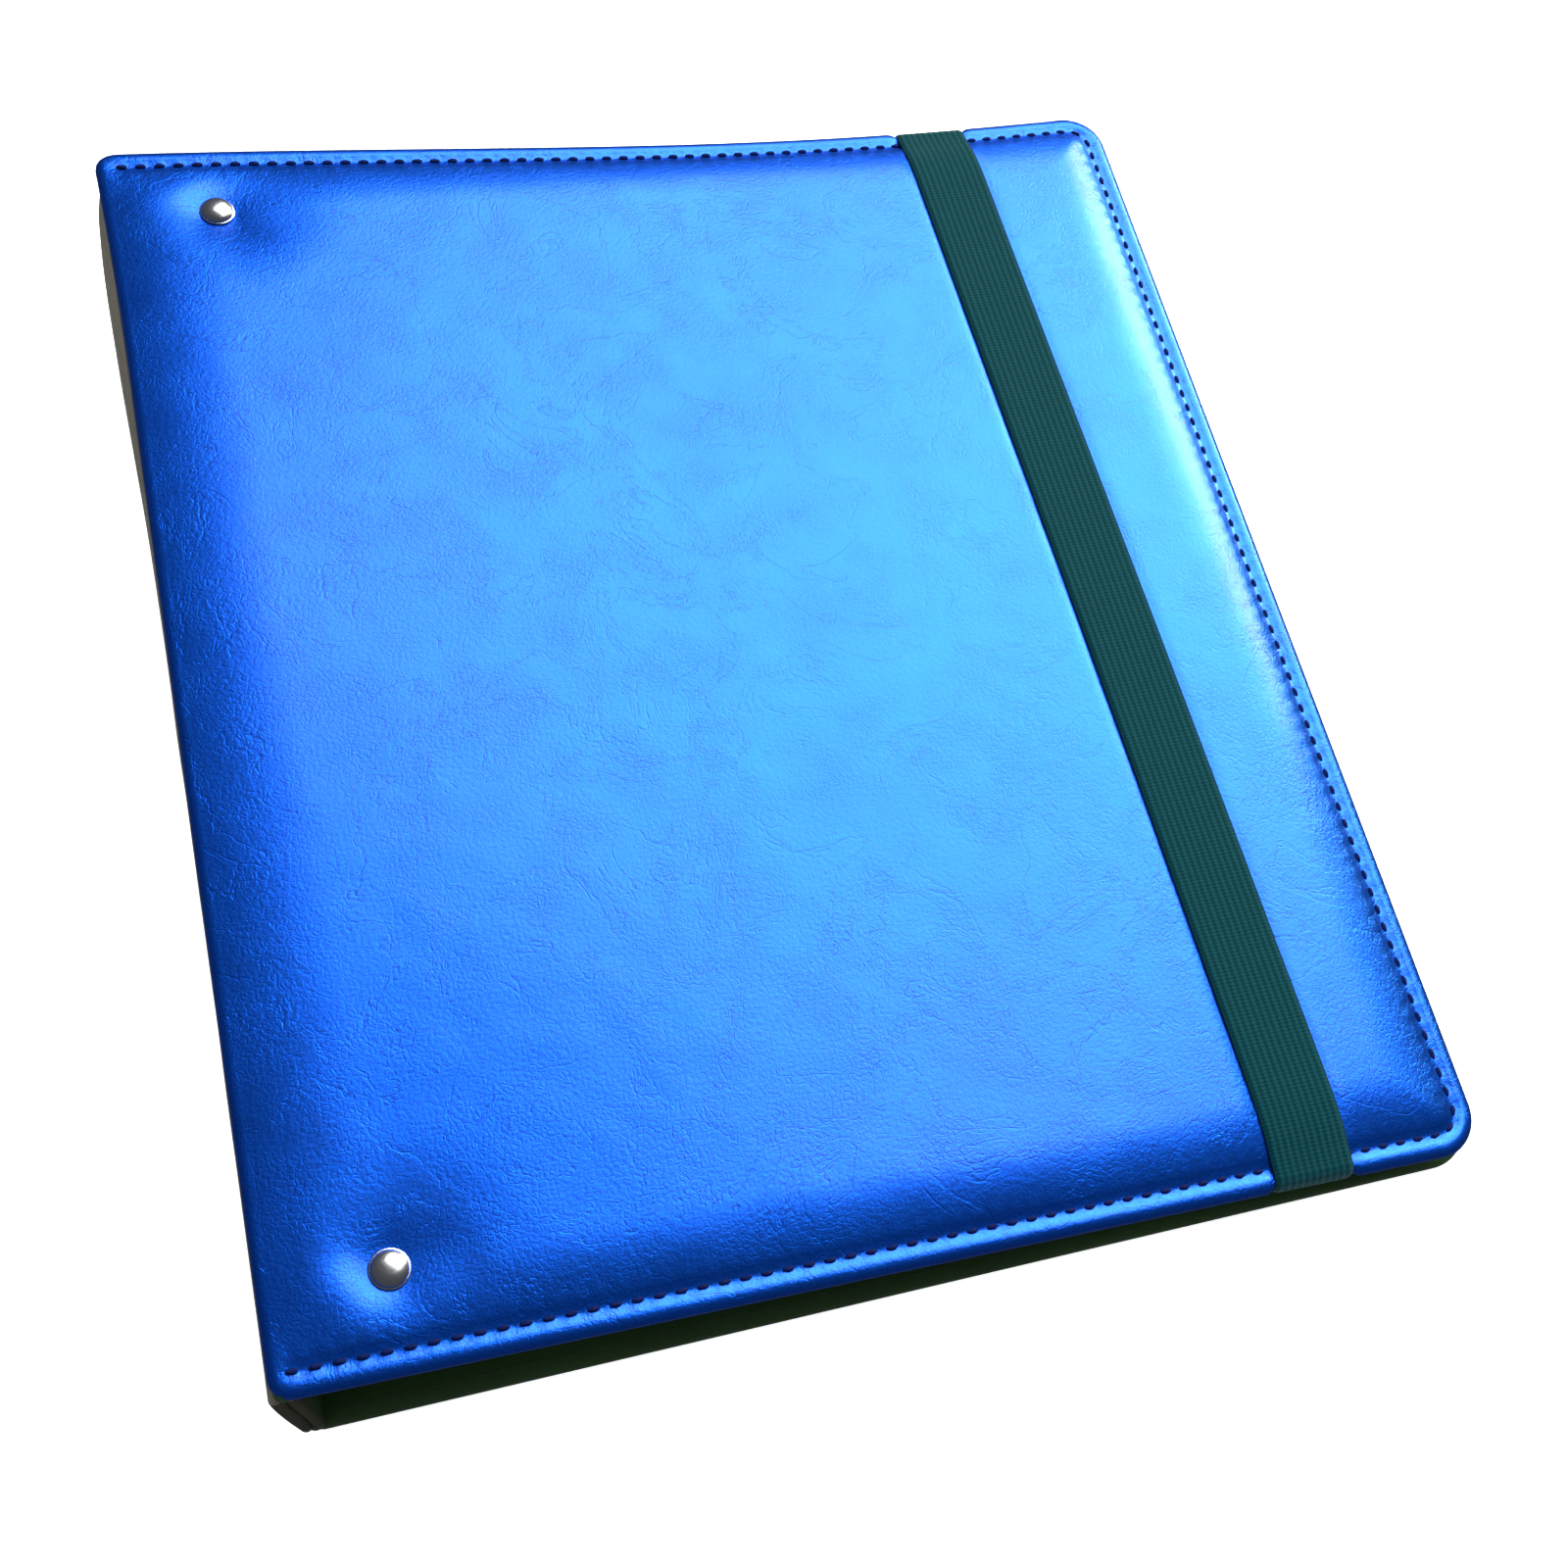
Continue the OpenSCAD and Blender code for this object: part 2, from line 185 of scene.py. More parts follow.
def grid_faces(rows: int, columns: int) -> tuple[list, np.ndarray]:
    """The faces of a grid of points and the corner numbers round its border.

    Args:
        rows: Rows of points.
        columns: Points in a row.

    Returns:
        The faces and the border, in order.
    """
    index = np.arange(rows * columns).reshape(rows, columns)
    corners = [index[:-1, :-1], index[:-1, 1:], index[1:, 1:], index[1:, :-1]]
    faces = np.stack(corners, axis=-1).reshape(-1, 4)
    border = np.concatenate([index[0, :-1], index[:-1, -1], index[-1, :0:-1], index[:0:-1, 0]])
    return faces.tolist(), border


def bake(piece: bpy.types.Object) -> bpy.types.Object:
    """Turns a piece's modifiers into plain mesh and takes them off.

    Args:
        piece: The piece, which changes.

    Returns:
        The same piece.
    """
    bpy.context.view_layer.update()
    graph = bpy.context.evaluated_depsgraph_get()
    mesh = bpy.data.meshes.new_from_object(piece.evaluated_get(graph), preserve_all_data_layers=True,
                                           depsgraph=graph)
    piece.modifiers.clear()
    mesh.name = piece.name
    piece.data = mesh
    return piece


def recalculated(piece: bpy.types.Object) -> bpy.types.Object:
    """Turns a closed piece's faces outwards.

    Args:
        piece: The piece, which changes.

    Returns:
        The same piece.
    """
    mesh = bmesh.new()
    mesh.from_mesh(piece.data)
    bmesh.ops.recalc_face_normals(mesh, faces=mesh.faces)
    mesh.to_mesh(piece.data)
    mesh.free()
    return piece


def crease(piece: bpy.types.Object, degrees: float) -> bpy.types.Object:
    """Marks the edges sharper than an angle, so that they shade sharp."""
    piece.data.set_sharp_from_angle(angle=math.radians(degrees))
    return piece


# ---------------------------------------------------------------- finishes


class Finish:
    """What a surface is made of. A subclass fills in its shader."""

    name: str

    def start(self) -> tuple[bpy.types.Material, Callable[..., bpy.types.Node], bpy.types.NodeSocket]:
        """Makes the material.

        Returns:
            The material, add_node for its tree, and the Object coordinates' socket.
        """
        material = bpy.data.materials.new(self.name)
        material.use_nodes = True
        add = partial(add_node, material.node_tree)
        return material, add, add("ShaderNodeTexCoord").outputs["Object"]

    @staticmethod
    def dress(material: bpy.types.Material, looks: dict) -> bpy.types.Material:
        """Fills in the shader's inputs, each with a value or with the socket that feeds it."""
        fill_inputs(material.node_tree, material.node_tree.nodes["Principled BSDF"], looks)
        return material


@dataclass(frozen=True)
class Leathercloth(Finish):
    """Polyurethane leathercloth, embossed and glazed: a soft broad gloss over a fine creased grain.

    Attributes:
        colour: Its colour.
        deep: Its colour where the pigment is thicker, and the colour of the painted shade in the fold lines.
        roughness: Its mean roughness.
        grain_mm: Distance between the creases of the embossed network. It is drawn about twice as coarse as
            real grain, which would be too fine to show.
        grain_depth: Depth of the creases, in mm.
        coat: Weight of the clear glaze.
        fold_mm: Size of the fields between the longer fold lines.
        mottle: How much of the deep colour the clouds of pigment bring.
        pearl: How far the pearl pigment tints the gloss.
        pore_mm: Size of the pores between the creases.
        relief_mm: Depth of the pores and of the fold lines.
        patch_mm: Size of the patches in which the grain is stronger.
        cloud_mm: Size of the clouds of pigment.
        bend_mm: Size of the waves that bend the whole pattern.
        bend_by_mm: How far they bend it.
    """

    name: str
    colour: str
    deep: str
    roughness: float
    grain_mm: float = 1.3
    grain_depth: float = 0.10
    coat: float = 0.25
    fold_mm: float = 26.0
    mottle: float = 0.5
    pearl: float = 0.0
    pore_mm: float = 1.1
    relief_mm: float = 0.22
    patch_mm: float = 14.0
    cloud_mm: float = 42.0
    bend_mm: float = 9.0
    bend_by_mm: float = 2.2

    def build(self) -> bpy.types.Material:
        """Makes the material.

        Returns:
            The new material.
        """
        material, add, place = self.start()
        wave = add("ShaderNodeTexNoise", {"Vector": place, "Scale": scale(self.bend_mm), "Detail": 3.0})
        moved = add("ShaderNodeVectorMath", {0: wave.outputs["Color"], "Scale": self.bend_by_mm * MM},
                    operation="SCALE")
        added = add("ShaderNodeVectorMath", {0: place, 1: moved.outputs["Vector"]}, operation="ADD")
        bent = added.outputs["Vector"]
        patches = add("ShaderNodeTexNoise", {"Vector": place, "Scale": scale(self.patch_mm), "Detail": 2.0})
        fold_line = self.fold_lines(add, bent)
        grain = self.grain(add, bent, patches.outputs["Fac"])
        relief = add("ShaderNodeBump", {"Height": fold_line, "Strength": 0.22,
                                        "Distance": self.relief_mm * MM, "Normal": grain})
        clouds = add("ShaderNodeTexNoise", {"Vector": place, "Scale": scale(self.cloud_mm), "Detail": 3.0})
        blend = add("ShaderNodeMapRange", {"Value": clouds.outputs["Fac"], "From Min": 0.3, "From Max": 0.7,
                                           "To Min": 0.0, "To Max": self.mottle})
        clouded = add("ShaderNodeMix", {"Factor": blend.outputs["Result"], 6: linear(self.colour),
                                        7: linear(self.deep)}, data_type="RGBA")
        # the fold lines are drawn up to 8% toward the deep colour: painted shade in the creases
        lines = add("ShaderNodeMapRange", {"Value": fold_line, "To Min": 0.08, "To Max": 0.0})
        crease_shaded = add("ShaderNodeMix", {"Factor": lines.outputs["Result"], 6: clouded.outputs[2],
                                      7: linear(self.deep)}, data_type="RGBA")
        rough = add("ShaderNodeMapRange", {"Value": patches.outputs["Fac"], "From Min": 0.3, "From Max": 0.7,
                                           "To Min": self.roughness - 0.02, "To Max": self.roughness + 0.03})
        return self.dress(material, {
            "Base Color": crease_shaded.outputs[2], "Roughness": rough.outputs["Result"],
            "Normal": relief.outputs["Normal"], "IOR": 1.5, "Metallic": self.pearl, "Coat Weight": self.coat,
            "Coat Roughness": 0.24})

    def fold_lines(self, add: Callable[..., bpy.types.Node],
                   bent: bpy.types.NodeSocket) -> bpy.types.NodeSocket:
        """Adds the fold lines.

        Args:
            add: add_node for the material's tree.
            bent: The bent coordinates.

        Returns:
            A value that is 0 on a line and 1 off it.
        """
        fields = add("ShaderNodeTexNoise", {"Vector": bent, "Scale": scale(self.fold_mm), "Detail": 5.0,
                                            "Roughness": 0.62, "Distortion": 0.7})
        off = add("ShaderNodeMath", {0: fields.outputs["Fac"], 1: 0.5}, operation="SUBTRACT")
        line = add("ShaderNodeMath", {0: off.outputs[0]}, operation="ABSOLUTE")
        faded = add("ShaderNodeMapRange", {"Value": line.outputs[0], "From Min": 0.0, "From Max": 0.012})
        return faded.outputs["Result"]

    def grain(self, add: Callable[..., bpy.types.Node], bent: bpy.types.NodeSocket,
              patches: bpy.types.NodeSocket) -> bpy.types.NodeSocket:
        """Adds the relief of the creases and the pores.

        Args:
            add: add_node for the material's tree.
            bent: The bent coordinates.
            patches: A value that is high where the creases are strong.

        Returns:
            The normal.
        """
        cells = add("ShaderNodeTexVoronoi", {"Vector": bent, "Scale": scale(self.grain_mm)},
                    feature="DISTANCE_TO_EDGE")
        creases = add("ShaderNodeMapRange", {"Value": cells.outputs["Distance"], "From Min": 0.0,
                                             "From Max": 0.18})
        strong = add("ShaderNodeMapRange", {"Value": patches, "From Min": 0.35, "From Max": 0.68,
                                            "To Min": 0.25, "To Max": 1.0})
        faded = add("ShaderNodeMath", {0: creases.outputs["Result"], 1: strong.outputs["Result"]},
                    operation="MULTIPLY")
        pores = add("ShaderNodeTexNoise", {"Vector": bent, "Scale": scale(self.pore_mm), "Detail": 4.0,
                                           "Roughness": 0.6})
        creased = add("ShaderNodeBump", {"Height": faded.outputs[0], "Strength": 0.38,
                                         "Distance": self.grain_depth * MM})
        pored = add("ShaderNodeBump", {"Height": pores.outputs["Fac"], "Strength": 0.5,
                                       "Distance": self.relief_mm * MM, "Normal": creased.outputs["Normal"]})
        return pored.outputs["Normal"]


@dataclass(frozen=True)
class PlatedSteel(Finish):
    """Nickel-plated or zinc-plated steel: a metal with faint drawing lines and handling marks.

    Attributes:
        colour: Its colour.
        roughness: Its mean roughness.
        lines: Strength of the drawing lines.
        line_mm: Distance between the drawing lines.
        line_depth: Their depth, in mm.
        smudge_mm: Size of the handling marks.
    """

    name: str
    colour: str
    roughness: float
    lines: float = 0.15
    line_mm: float = 0.5
    line_depth: float = 0.02
    smudge_mm: float = 6.0

    def build(self) -> bpy.types.Material:
        """Makes the material.

        Returns:
            The new material.
        """
        material, add, place = self.start()
        stretch = add("ShaderNodeMapping", {"Vector": place, "Scale": (1.0, 0.05, 1.0)})
        drawn = add("ShaderNodeTexNoise", {"Vector": stretch.outputs["Vector"], "Scale": scale(self.line_mm),
                                           "Detail": 3.0})
        smudge = add("ShaderNodeTexNoise", {"Vector": place, "Scale": scale(self.smudge_mm), "Detail": 4.0})
        rough = add("ShaderNodeMapRange", {"Value": smudge.outputs["Fac"], "To Min": self.roughness * 0.7,
                                           "To Max": self.roughness * 1.5})
        bump = add("ShaderNodeBump", {"Height": drawn.outputs["Fac"], "Strength": self.lines,
                                      "Distance": self.line_depth * MM})
        return self.dress(material, {
            "Base Color": linear(self.colour), "Metallic": 1.0, "Roughness": rough.outputs["Result"],
            "Normal": bump.outputs["Normal"]})


@dataclass(frozen=True)
class WovenElastic(Finish):
    """Ribbed woven elastic: dull covered rubber cords side by side, crossed by a fine weft.

    Attributes:
        colour: Its colour between the cords, darker than on top: painted shade.
        light: Its colour on top of them, lighter than between them: painted light.
        rib_mm: Distance from cord to cord.
        weft_mm: Distance from weft thread to weft thread.
        fuzz_mm: Size of the yarn's fuzz.
        depth_mm: Depth of the weave.
    """

    name: str
    colour: str
    light: str
    rib_mm: float
    weft_mm: float = 0.9
    fuzz_mm: float = 0.45
    depth_mm: float = 0.12

    def build(self) -> bpy.types.Material:
        """Makes the material. Its pattern follows the piece's own UV map, in metres across and along.

        Returns:
            The new material.
        """
        material, add, _ = self.start()
        cloth = add("ShaderNodeUVMap", uv_map="weave").outputs["UV"]
        split = add("ShaderNodeSeparateXYZ", {0: cloth})
        waves = []
        for direction, pitch_mm in (("X", self.rib_mm), ("Y", self.weft_mm)):
            phase = add("ShaderNodeMath", {0: split.outputs[direction], 1: 2 * math.pi / (pitch_mm * MM)},
                        operation="MULTIPLY")
            waves.append(add("ShaderNodeMath", {0: phase.outputs[0]}, operation="COSINE").outputs[0])
        both = add("ShaderNodeMath", {0: waves[1], 1: 0.45, 2: waves[0]}, operation="MULTIPLY_ADD")
        fuzz = add("ShaderNodeTexNoise", {"Vector": cloth, "Scale": scale(self.fuzz_mm), "Detail": 3.0})
        weave = add("ShaderNodeMath", {0: fuzz.outputs["Fac"], 1: 1.4, 2: both.outputs[0]},
                    operation="MULTIPLY_ADD").outputs[0]
        # the tone follows the weave's height: painted shade between cords and weft, painted light on their tops,
        # with the yarn's fuzz as real random tone
        painted_weave_shade = add("ShaderNodeMapRange", {"Value": weave, "From Min": -1.0, "From Max": 2.2})
        base = add("ShaderNodeMix", {"Factor": painted_weave_shade.outputs["Result"], 6: linear(self.colour),
                                     7: linear(self.light)}, data_type="RGBA")
        bump = add("ShaderNodeBump", {"Height": weave, "Strength": 0.6, "Distance": self.depth_mm * MM})
        return self.dress(material, {
            "Base Color": base.outputs[2], "Normal": bump.outputs["Normal"], "Roughness": 0.82,
            "Specular IOR Level": 0.05, "Sheen Weight": 0.04, "Sheen Roughness": 0.5})


@dataclass(frozen=True)
class Fibre(Finish):
    """Thread, greyboard or foam: matte stuff with a small-scale speckle.

    Attributes:
        colour: Its colour.
        fleck: The colour of its specks.
        speck_mm: Their size.
        depth_mm: Their depth.
        roughness: Its roughness.
        gloss: Level of its reflection.
    """

    name: str
    colour: str
    fleck: str
    speck_mm: float
    depth_mm: float
    roughness: float = 0.85
    gloss: float = 0.5

    def build(self) -> bpy.types.Material:
        """Makes the material.

        Returns:
            The new material.
        """
        material, add, place = self.start()
        speck = add("ShaderNodeTexNoise", {"Vector": place, "Scale": scale(self.speck_mm), "Detail": 4.0,
                                           "Roughness": 0.7})
        part = add("ShaderNodeMapRange", {"Value": speck.outputs["Fac"], "From Min": 0.35, "From Max": 0.65})
        base = add("ShaderNodeMix", {"Factor": part.outputs["Result"], 6: linear(self.colour),
                                     7: linear(self.fleck)}, data_type="RGBA")
        bump = add("ShaderNodeBump", {"Height": speck.outputs["Fac"], "Strength": 0.6,
                                      "Distance": self.depth_mm * MM})
        return self.dress(material, {
            "Base Color": base.outputs[2], "Normal": bump.outputs["Normal"], "Roughness": self.roughness,
            "Specular IOR Level": self.gloss})


@dataclass(frozen=True)
class Polypropylene(Finish):
    """Calendered polypropylene sheet or film: smooth, a little wavy, softly glossy.

    Attributes:
        colour: Its colour.
        roughness: Its roughness.
        clear: How much light the film lets through.
        wave_mm: Size of its waves.
        matt_mm: Size of its matt grain.
        depth_mm: Depth of the waves.
    """

    name: str
    colour: str
    roughness: float
    clear: float = 0.0
    wave_mm: float = 18.0
    matt_mm: float = 0.6
    depth_mm: float = 1.1

    def build(self) -> bpy.types.Material:
        """Makes the material.

        Returns:
            The new material.
        """
        material, add, place = self.start()
        wave = add("ShaderNodeTexNoise", {"Vector": place, "Scale": scale(self.wave_mm), "Detail": 2.0})
        matt = add("ShaderNodeTexNoise", {"Vector": place, "Scale": scale(self.matt_mm), "Detail": 2.0})
        both = add("ShaderNodeMath", {0: matt.outputs["Fac"], 1: 0.02, 2: wave.outputs["Fac"]},
                   operation="MULTIPLY_ADD")
        bump = add("ShaderNodeBump", {"Height": both.outputs[0], "Strength": 0.5,
                                      "Distance": self.depth_mm * MM})
        return self.dress(material, {
            "Base Color": linear(self.colour), "Roughness": self.roughness, "IOR": 1.49,
            "Alpha": 1.0 - self.clear, "Normal": bump.outputs["Normal"]})


# Glazed leathercloth with a pearl pigment: a broad blue gloss that keeps the cloth's own colour.
COVER_BLUE = Leathercloth("cover_leathercloth_blue", "0459DC", "0249CC", roughness=0.36, coat=0.27,
                          mottle=0.22, pearl=0.9).build()
# The same cloth unglazed, in a warm grey: nearly matte.
SPINE_TAUPE = Leathercloth("spine_leathercloth_taupe", "6E6A5E", "5A564B", roughness=0.6, coat=0.05).build()
# Thin lining cloth with a shallow grain: dark and dull.
LINING_DARK = Leathercloth("lining_leathercloth_dark", "22401A", "192F12", roughness=0.62, coat=0.0,
                           grain_depth=0.06).build()
# The spine's end faces: dull olive, much darker than the spine's taupe, as painted shade.
SPINE_END_PAINTED_SHADE = Leathercloth("spine_end_painted_shade_olive", "2C2E16", "20210F", roughness=0.7, coat=0.0,
                          grain_depth=0.05).build()
# Bright nickel plate on drawn steel: sharp reflections, softened by handling.
RING_NICKEL = PlatedSteel("nickel_plated_steel", "E6E8EE", 0.22).build()
# Zinc plate on rolled spring steel: greyer, with visible rolling lines.
BLADE_ZINC = PlatedSteel("zinc_plated_spring_steel", "B4B8BC", 0.34, 0.4).build()
# Bonded polyester sewing thread: matte, with a twist finer than 0.4 mm.
THREAD_NAVY = Fibre("polyester_thread_navy", "040F3C", "081C58", 0.35, 0.05, 0.8, 0.12).build()
# Elastic webbing of covered rubber cords 1.75 mm apart: no gloss, faint ribs, with painted shade between the
# cords.
STRAP_TEAL = WovenElastic("woven_elastic_teal", "02262D", "06414B", rib_mm=1.75).build()
# Pressed waste-paper board: matte grey with paper specks.
BOARD_GREY = Fibre("greyboard", "8C8880", "77736A", 0.6, 0.05).build()
# Open-celled polyurethane foam: matte cream with cells of about 0.9 mm.
FOAM_CREAM = Fibre("polyurethane_foam", "E9E2CF", "D8CFB8", 0.9, 0.3).build()
# Calendered polypropylene sheet: black, with a satin gloss.
PAGE_BLACK = Polypropylene("polypropylene_sheet_black", "0D0F0E", 0.42).build()
# Cast polypropylene film: clear, glossy and a little wavy.
POCKET_CLEAR = Polypropylene("polypropylene_film_clear", "5A625F", 0.16, clear=0.72, wave_mm=26.0).build()


# ---------------------------------------------------------------- the covers' frames


class Side(Enum):
    """Which cover."""

    UPPER = "upper"
    LOWER = "lower"


def joint(name: str) -> dict:
    """The record's joint of that name."""
    return next(j for j in frame["joints"] if j["name"] == name)


@dataclass(frozen=True)
class CoverFrame:
    """A cover's own directions: x from its hinge line to the fore edge, y to the head, z outwards.

    Attributes:
        origin: The middle of its hinge line.
        fore: Unit vector to the fore edge.
        out: Unit vector out of the binder.
    """

    origin: Vector
    fore: Vector
    out: Vector

    def at(self, x: np.ndarray | float, y: np.ndarray | float, z: np.ndarray | float) -> np.ndarray:
        """Turns places in the cover's own frame to places in the row frame.

        Args:
            x: From the hinge line to the fore edge.
            y: To the head.
            z: Outwards.

        Returns:
            The same places in the row frame, one to a row.
        """
        own = np.stack([np.ravel(part) for part in np.broadcast_arrays(x, y, z)], axis=1)
        return np.array(self.origin) + own @ np.array([list(self.fore), [0.0, 1.0, 0.0], list(self.out)])

    def local_box(self, node: str) -> tuple[np.ndarray, np.ndarray]:
        """A CAD node's lowest and highest corner in the cover's own frame.

        Args:
            node: The node's name.

        Returns:
            The lowest and the highest corner.
        """
        co = np.array([v.co for v in frame["nodes"][node].data.vertices], float) - np.array(self.origin)
        own = np.stack([co @ np.array(self.fore), co[:, 1], co @ np.array(self.out)], axis=1)
        return own.min(0), own.max(0)


def cover_frame(side: Side) -> CoverFrame:
    """The frame of one cover, from the record's joints.

    Args:
        side: Which cover.

    Returns:
        Its frame.
    """
    if side is Side.UPPER:
        fore = Vector(joint("strap_stretch")["axis"]).normalized()
        out = fore.cross(Vector((0.0, 1.0, 0.0)))
        return CoverFrame(Vector(joint("cover_open")["pos_m"]), fore, out)
    hinge = Vector(joint("spine_fold")["pos_m"])
    return CoverFrame(hinge, Vector((1.0, 0.0, 0.0)), Vector((0.0, 0.0, -1.0)))


UPPER = cover_frame(Side.UPPER)
LOWER = cover_frame(Side.LOWER)


# ---------------------------------------------------------------- covers


@dataclass
class PaddedCover:
    """A board covered with foam and leathercloth, stitched along three edges.

    Heights are over the cover's middle plane, outwards.

    Attributes:
        side: Which cover.
        step: Distance between the mesh's points.
        corner: Radius of the fore-edge corners.
        spine_corner: Inner radius of the corners by the spine.
        edge_r: How far the turned edge swells past the last row of points.
        stitch_inset: Distance from an edge to the stitches.
        slope: Distance from the stitches to the pad's full height.
        spine_slope: The same from the spine edge.
        stitch_pitch: Distance from stitch to stitch.
        first_stitch: Distance from the hinge line to the first stitch.
        spine_x: Distance from the hinge line to the first row of points.
        bow_in: How far the head edge draws in at its middle.
        bow_down: How far the head edge hangs at its middle.
        flare: How far the corner by the spine's head end spreads.
        flare_long: How far from that corner the edge by the spine starts to spread.
        flare_wide: How far from the hinge line the spread reaches.
        skin: Thickness of the leather.
        thread: Radius of the thread.
        groove: How deep the strap presses into the leather.
        groove_half: Half the width of that groove, which reaches past the strap's sides.
        pinch: How far the strap draws in the turned edge.
        dimple: Mean radius of the hollow round a rivet.
        rivet_r: Radius of the flat seat under a rivet's brim.
        hem_centre: The place, from the hinge line, that the turned-in hem draws in to.
    """

    side: Side
    step: float = 1.2 * MM
    corner: float = 11.0 * MM
    spine_corner: float = 2.4 * MM
    edge_r: float = 2.3 * MM
    stitch_inset: float = 5.2 * MM
    slope: float = 16.5 * MM
    spine_slope: float = 25.0 * MM
    stitch_pitch: float = 4.6 * MM
    first_stitch: float = 2.0 * MM
    spine_x: float = -0.6 * MM
    bow_in: float = 2.4 * MM
    bow_down: float = 2.2 * MM
    flare: float = 1.7 * MM
    flare_long: float = 70 * MM
    flare_wide: float = 30 * MM
    skin: float = 1.3 * MM
    thread: float = 0.62 * MM
    groove: float = 0.45 * MM
    groove_half: float = 12.5 * MM
    pinch: float = 1.6 * MM
    dimple: float = 23 * MM
    rivet_r: float = 4.2 * MM
    hem_centre: float = 131 * MM
    plane: CoverFrame = field(init=False)
    rivets: list = field(init=False)

    def __post_init__(self) -> None:
        """Reads the cover's sizes from the frame."""
        self.plane = UPPER if self.side is Side.UPPER else LOWER
        _, high = self.plane.local_box(f"{self.side.value}_skin")
        lining_low, lining_high = self.plane.local_box(f"{self.side.value}_lining")
        self.half_h = high[1]
        self.reach = high[0]
        self.pad_z = high[2]
        self.rim_z = -lining_low[2]
        self.under_z = lining_high[2]
        self.lining_z = lining_low[2]
        self.rivets = []
        self.strapped = self.side is Side.UPPER
        if self.strapped:
            for end in ("head", "tail"):
                a, b = self.plane.local_box(f"{end}_rivet")
                self.rivets.append(((a[0] + b[0]) / 2, (a[1] + b[1]) / 2))

    def place(self, x: np.ndarray, y: np.ndarray, z: np.ndarray) -> np.ndarray:
        """Places in the row frame of places on the cover, with the bow of its head edge.

        Args:
            x: Places, from the hinge line.
            y: Places, towards the head.
            z: Heights over the middle plane.

        Returns:
            The places in the row frame, one to a row.
        """
        x, y, z = np.broadcast_arrays(x, y, z)
        across = np.sin(math.pi * np.clip(x / self.reach, 0, 1) ** 1.45)
        drawn = np.clip(y / self.half_h, 0, 1.02) ** 2
        hung = smooth((y + 0.3 * self.half_h) / (1.3 * self.half_h))
        return self.plane.at(x, y - self.bow_in * across * drawn, z - self.bow_down * across * hung)

    def lengths(self) -> tuple[float, float, float]:
        """Lengths of the stitch line's stretches: along the tail, round a corner, along the fore edge.

        Returns:
            The three lengths. The head has the same as the tail.
        """
        across = self.reach - self.corner - self.first_stitch
        turn = math.pi / 2 * (self.corner - self.stitch_inset)
        return across, turn, 2 * (self.half_h - self.corner)

    def path_length(self) -> float:
        """Length of the stitch line round the three edges."""
        across, turn, up = self.lengths()
        return 2 * across + 2 * turn + up

    def stitch_count(self) -> int:
        """How many stitches the line has."""
        return round(self.path_length() / self.stitch_pitch)

    def path_point(self, s: np.ndarray) -> tuple[np.ndarray, np.ndarray]:
        """Places on the stitch line, by distance along it from the tail's spine end.

        Args:
            s: Distances along the line.

        Returns:
            The places, as x and y.
        """
        across, turn, up = self.lengths()
        cx, cy, r = self.reach - self.corner, self.half_h - self.corner, self.corner - self.stitch_inset
        a1 = (s - across) / turn * math.pi / 2
        a2 = (s - across - turn - up) / turn * math.pi / 2
        where = [s < across, s < across + turn, s < across + turn + up, s < across + 2 * turn + up]
        xs = [self.first_stitch + s, cx + r * np.sin(a1), np.full_like(s, cx + r), cx + r * np.cos(a2)]
        ys = [np.full_like(s, -cy - r), -cy - r * np.cos(a1), s - across - turn - cy, cy + r * np.sin(a2)]
        return np.select(where, xs, cx - (s - across - 2 * turn - up)), np.select(where, ys, cy + r)

    def along(self, x: np.ndarray, y: np.ndarray) -> np.ndarray:
        """Distance along the stitch line of the places nearest to x, y.

        Args:
            x: Places, from the hinge line.
            y: Places, towards the head.

        Returns:
            The distances.
        """
        across, turn, up = self.lengths()
        cx, cy = self.reach - self.corner, self.half_h - self.corner
        angle = np.arctan2(np.maximum(x - cx, 0), np.maximum(np.abs(y) - cy, 1e-9)) / (math.pi / 2)
        tail = np.where(x > cx, across + angle * turn, x - self.first_stitch)
        head = np.where(x > cx, across + turn + up + (1 - angle) * turn, across + 2 * turn + up + cx - x)
        ends = np.where(y < 0, tail, head)
        fore = across + turn + np.clip(y, -cy, cy) + cy
        nearer_fore = (np.abs(y) < cy) & (self.reach - x < self.half_h - np.abs(y))
        return np.where(nearer_fore, fore, ends)

    def depth(self, x: np.ndarray, y: np.ndarray) -> np.ndarray:
        """Distance in from the three stitched edges.

        Args:
            x: Places, from the hinge line.
            y: Places, towards the head.

        Returns:
            The distances, negative outside.
        """
        qx = x - (self.reach - self.corner)
        qy = np.abs(y) - (self.half_h - self.corner)
        outside = np.hypot(np.maximum(qx, 0), np.maximum(qy, 0))
        return self.corner - outside - np.minimum(np.maximum(qx, qy), 0)

    @staticmethod
    def swell(t: np.ndarray) -> np.ndarray:
        """The pad's rise from 0 at its seam to 1, steep at first and then flat."""
        return 1 - (1 - np.clip(t, 0, 1)) ** 2.2

    def height(self, x: np.ndarray, y: np.ndarray) -> np.ndarray:
        """Height of the outer surface over the cover's middle plane.

        Args:
            x: Places, from the hinge line.
            y: Places, towards the head.

        Returns:
            The heights.
        """
        x, y = np.broadcast_arrays(x, y)
        d = self.depth(x, y)
        pad = self.pad_z - self.rim_z
        rise = self.swell((d - self.stitch_inset) / self.slope)
        spine_rise = self.swell((x - self.spine_x + 1.0 * MM) / self.spine_slope)
        z = self.rim_z - 0.25 * MM + (pad + 0.25 * MM) * rise * spine_rise
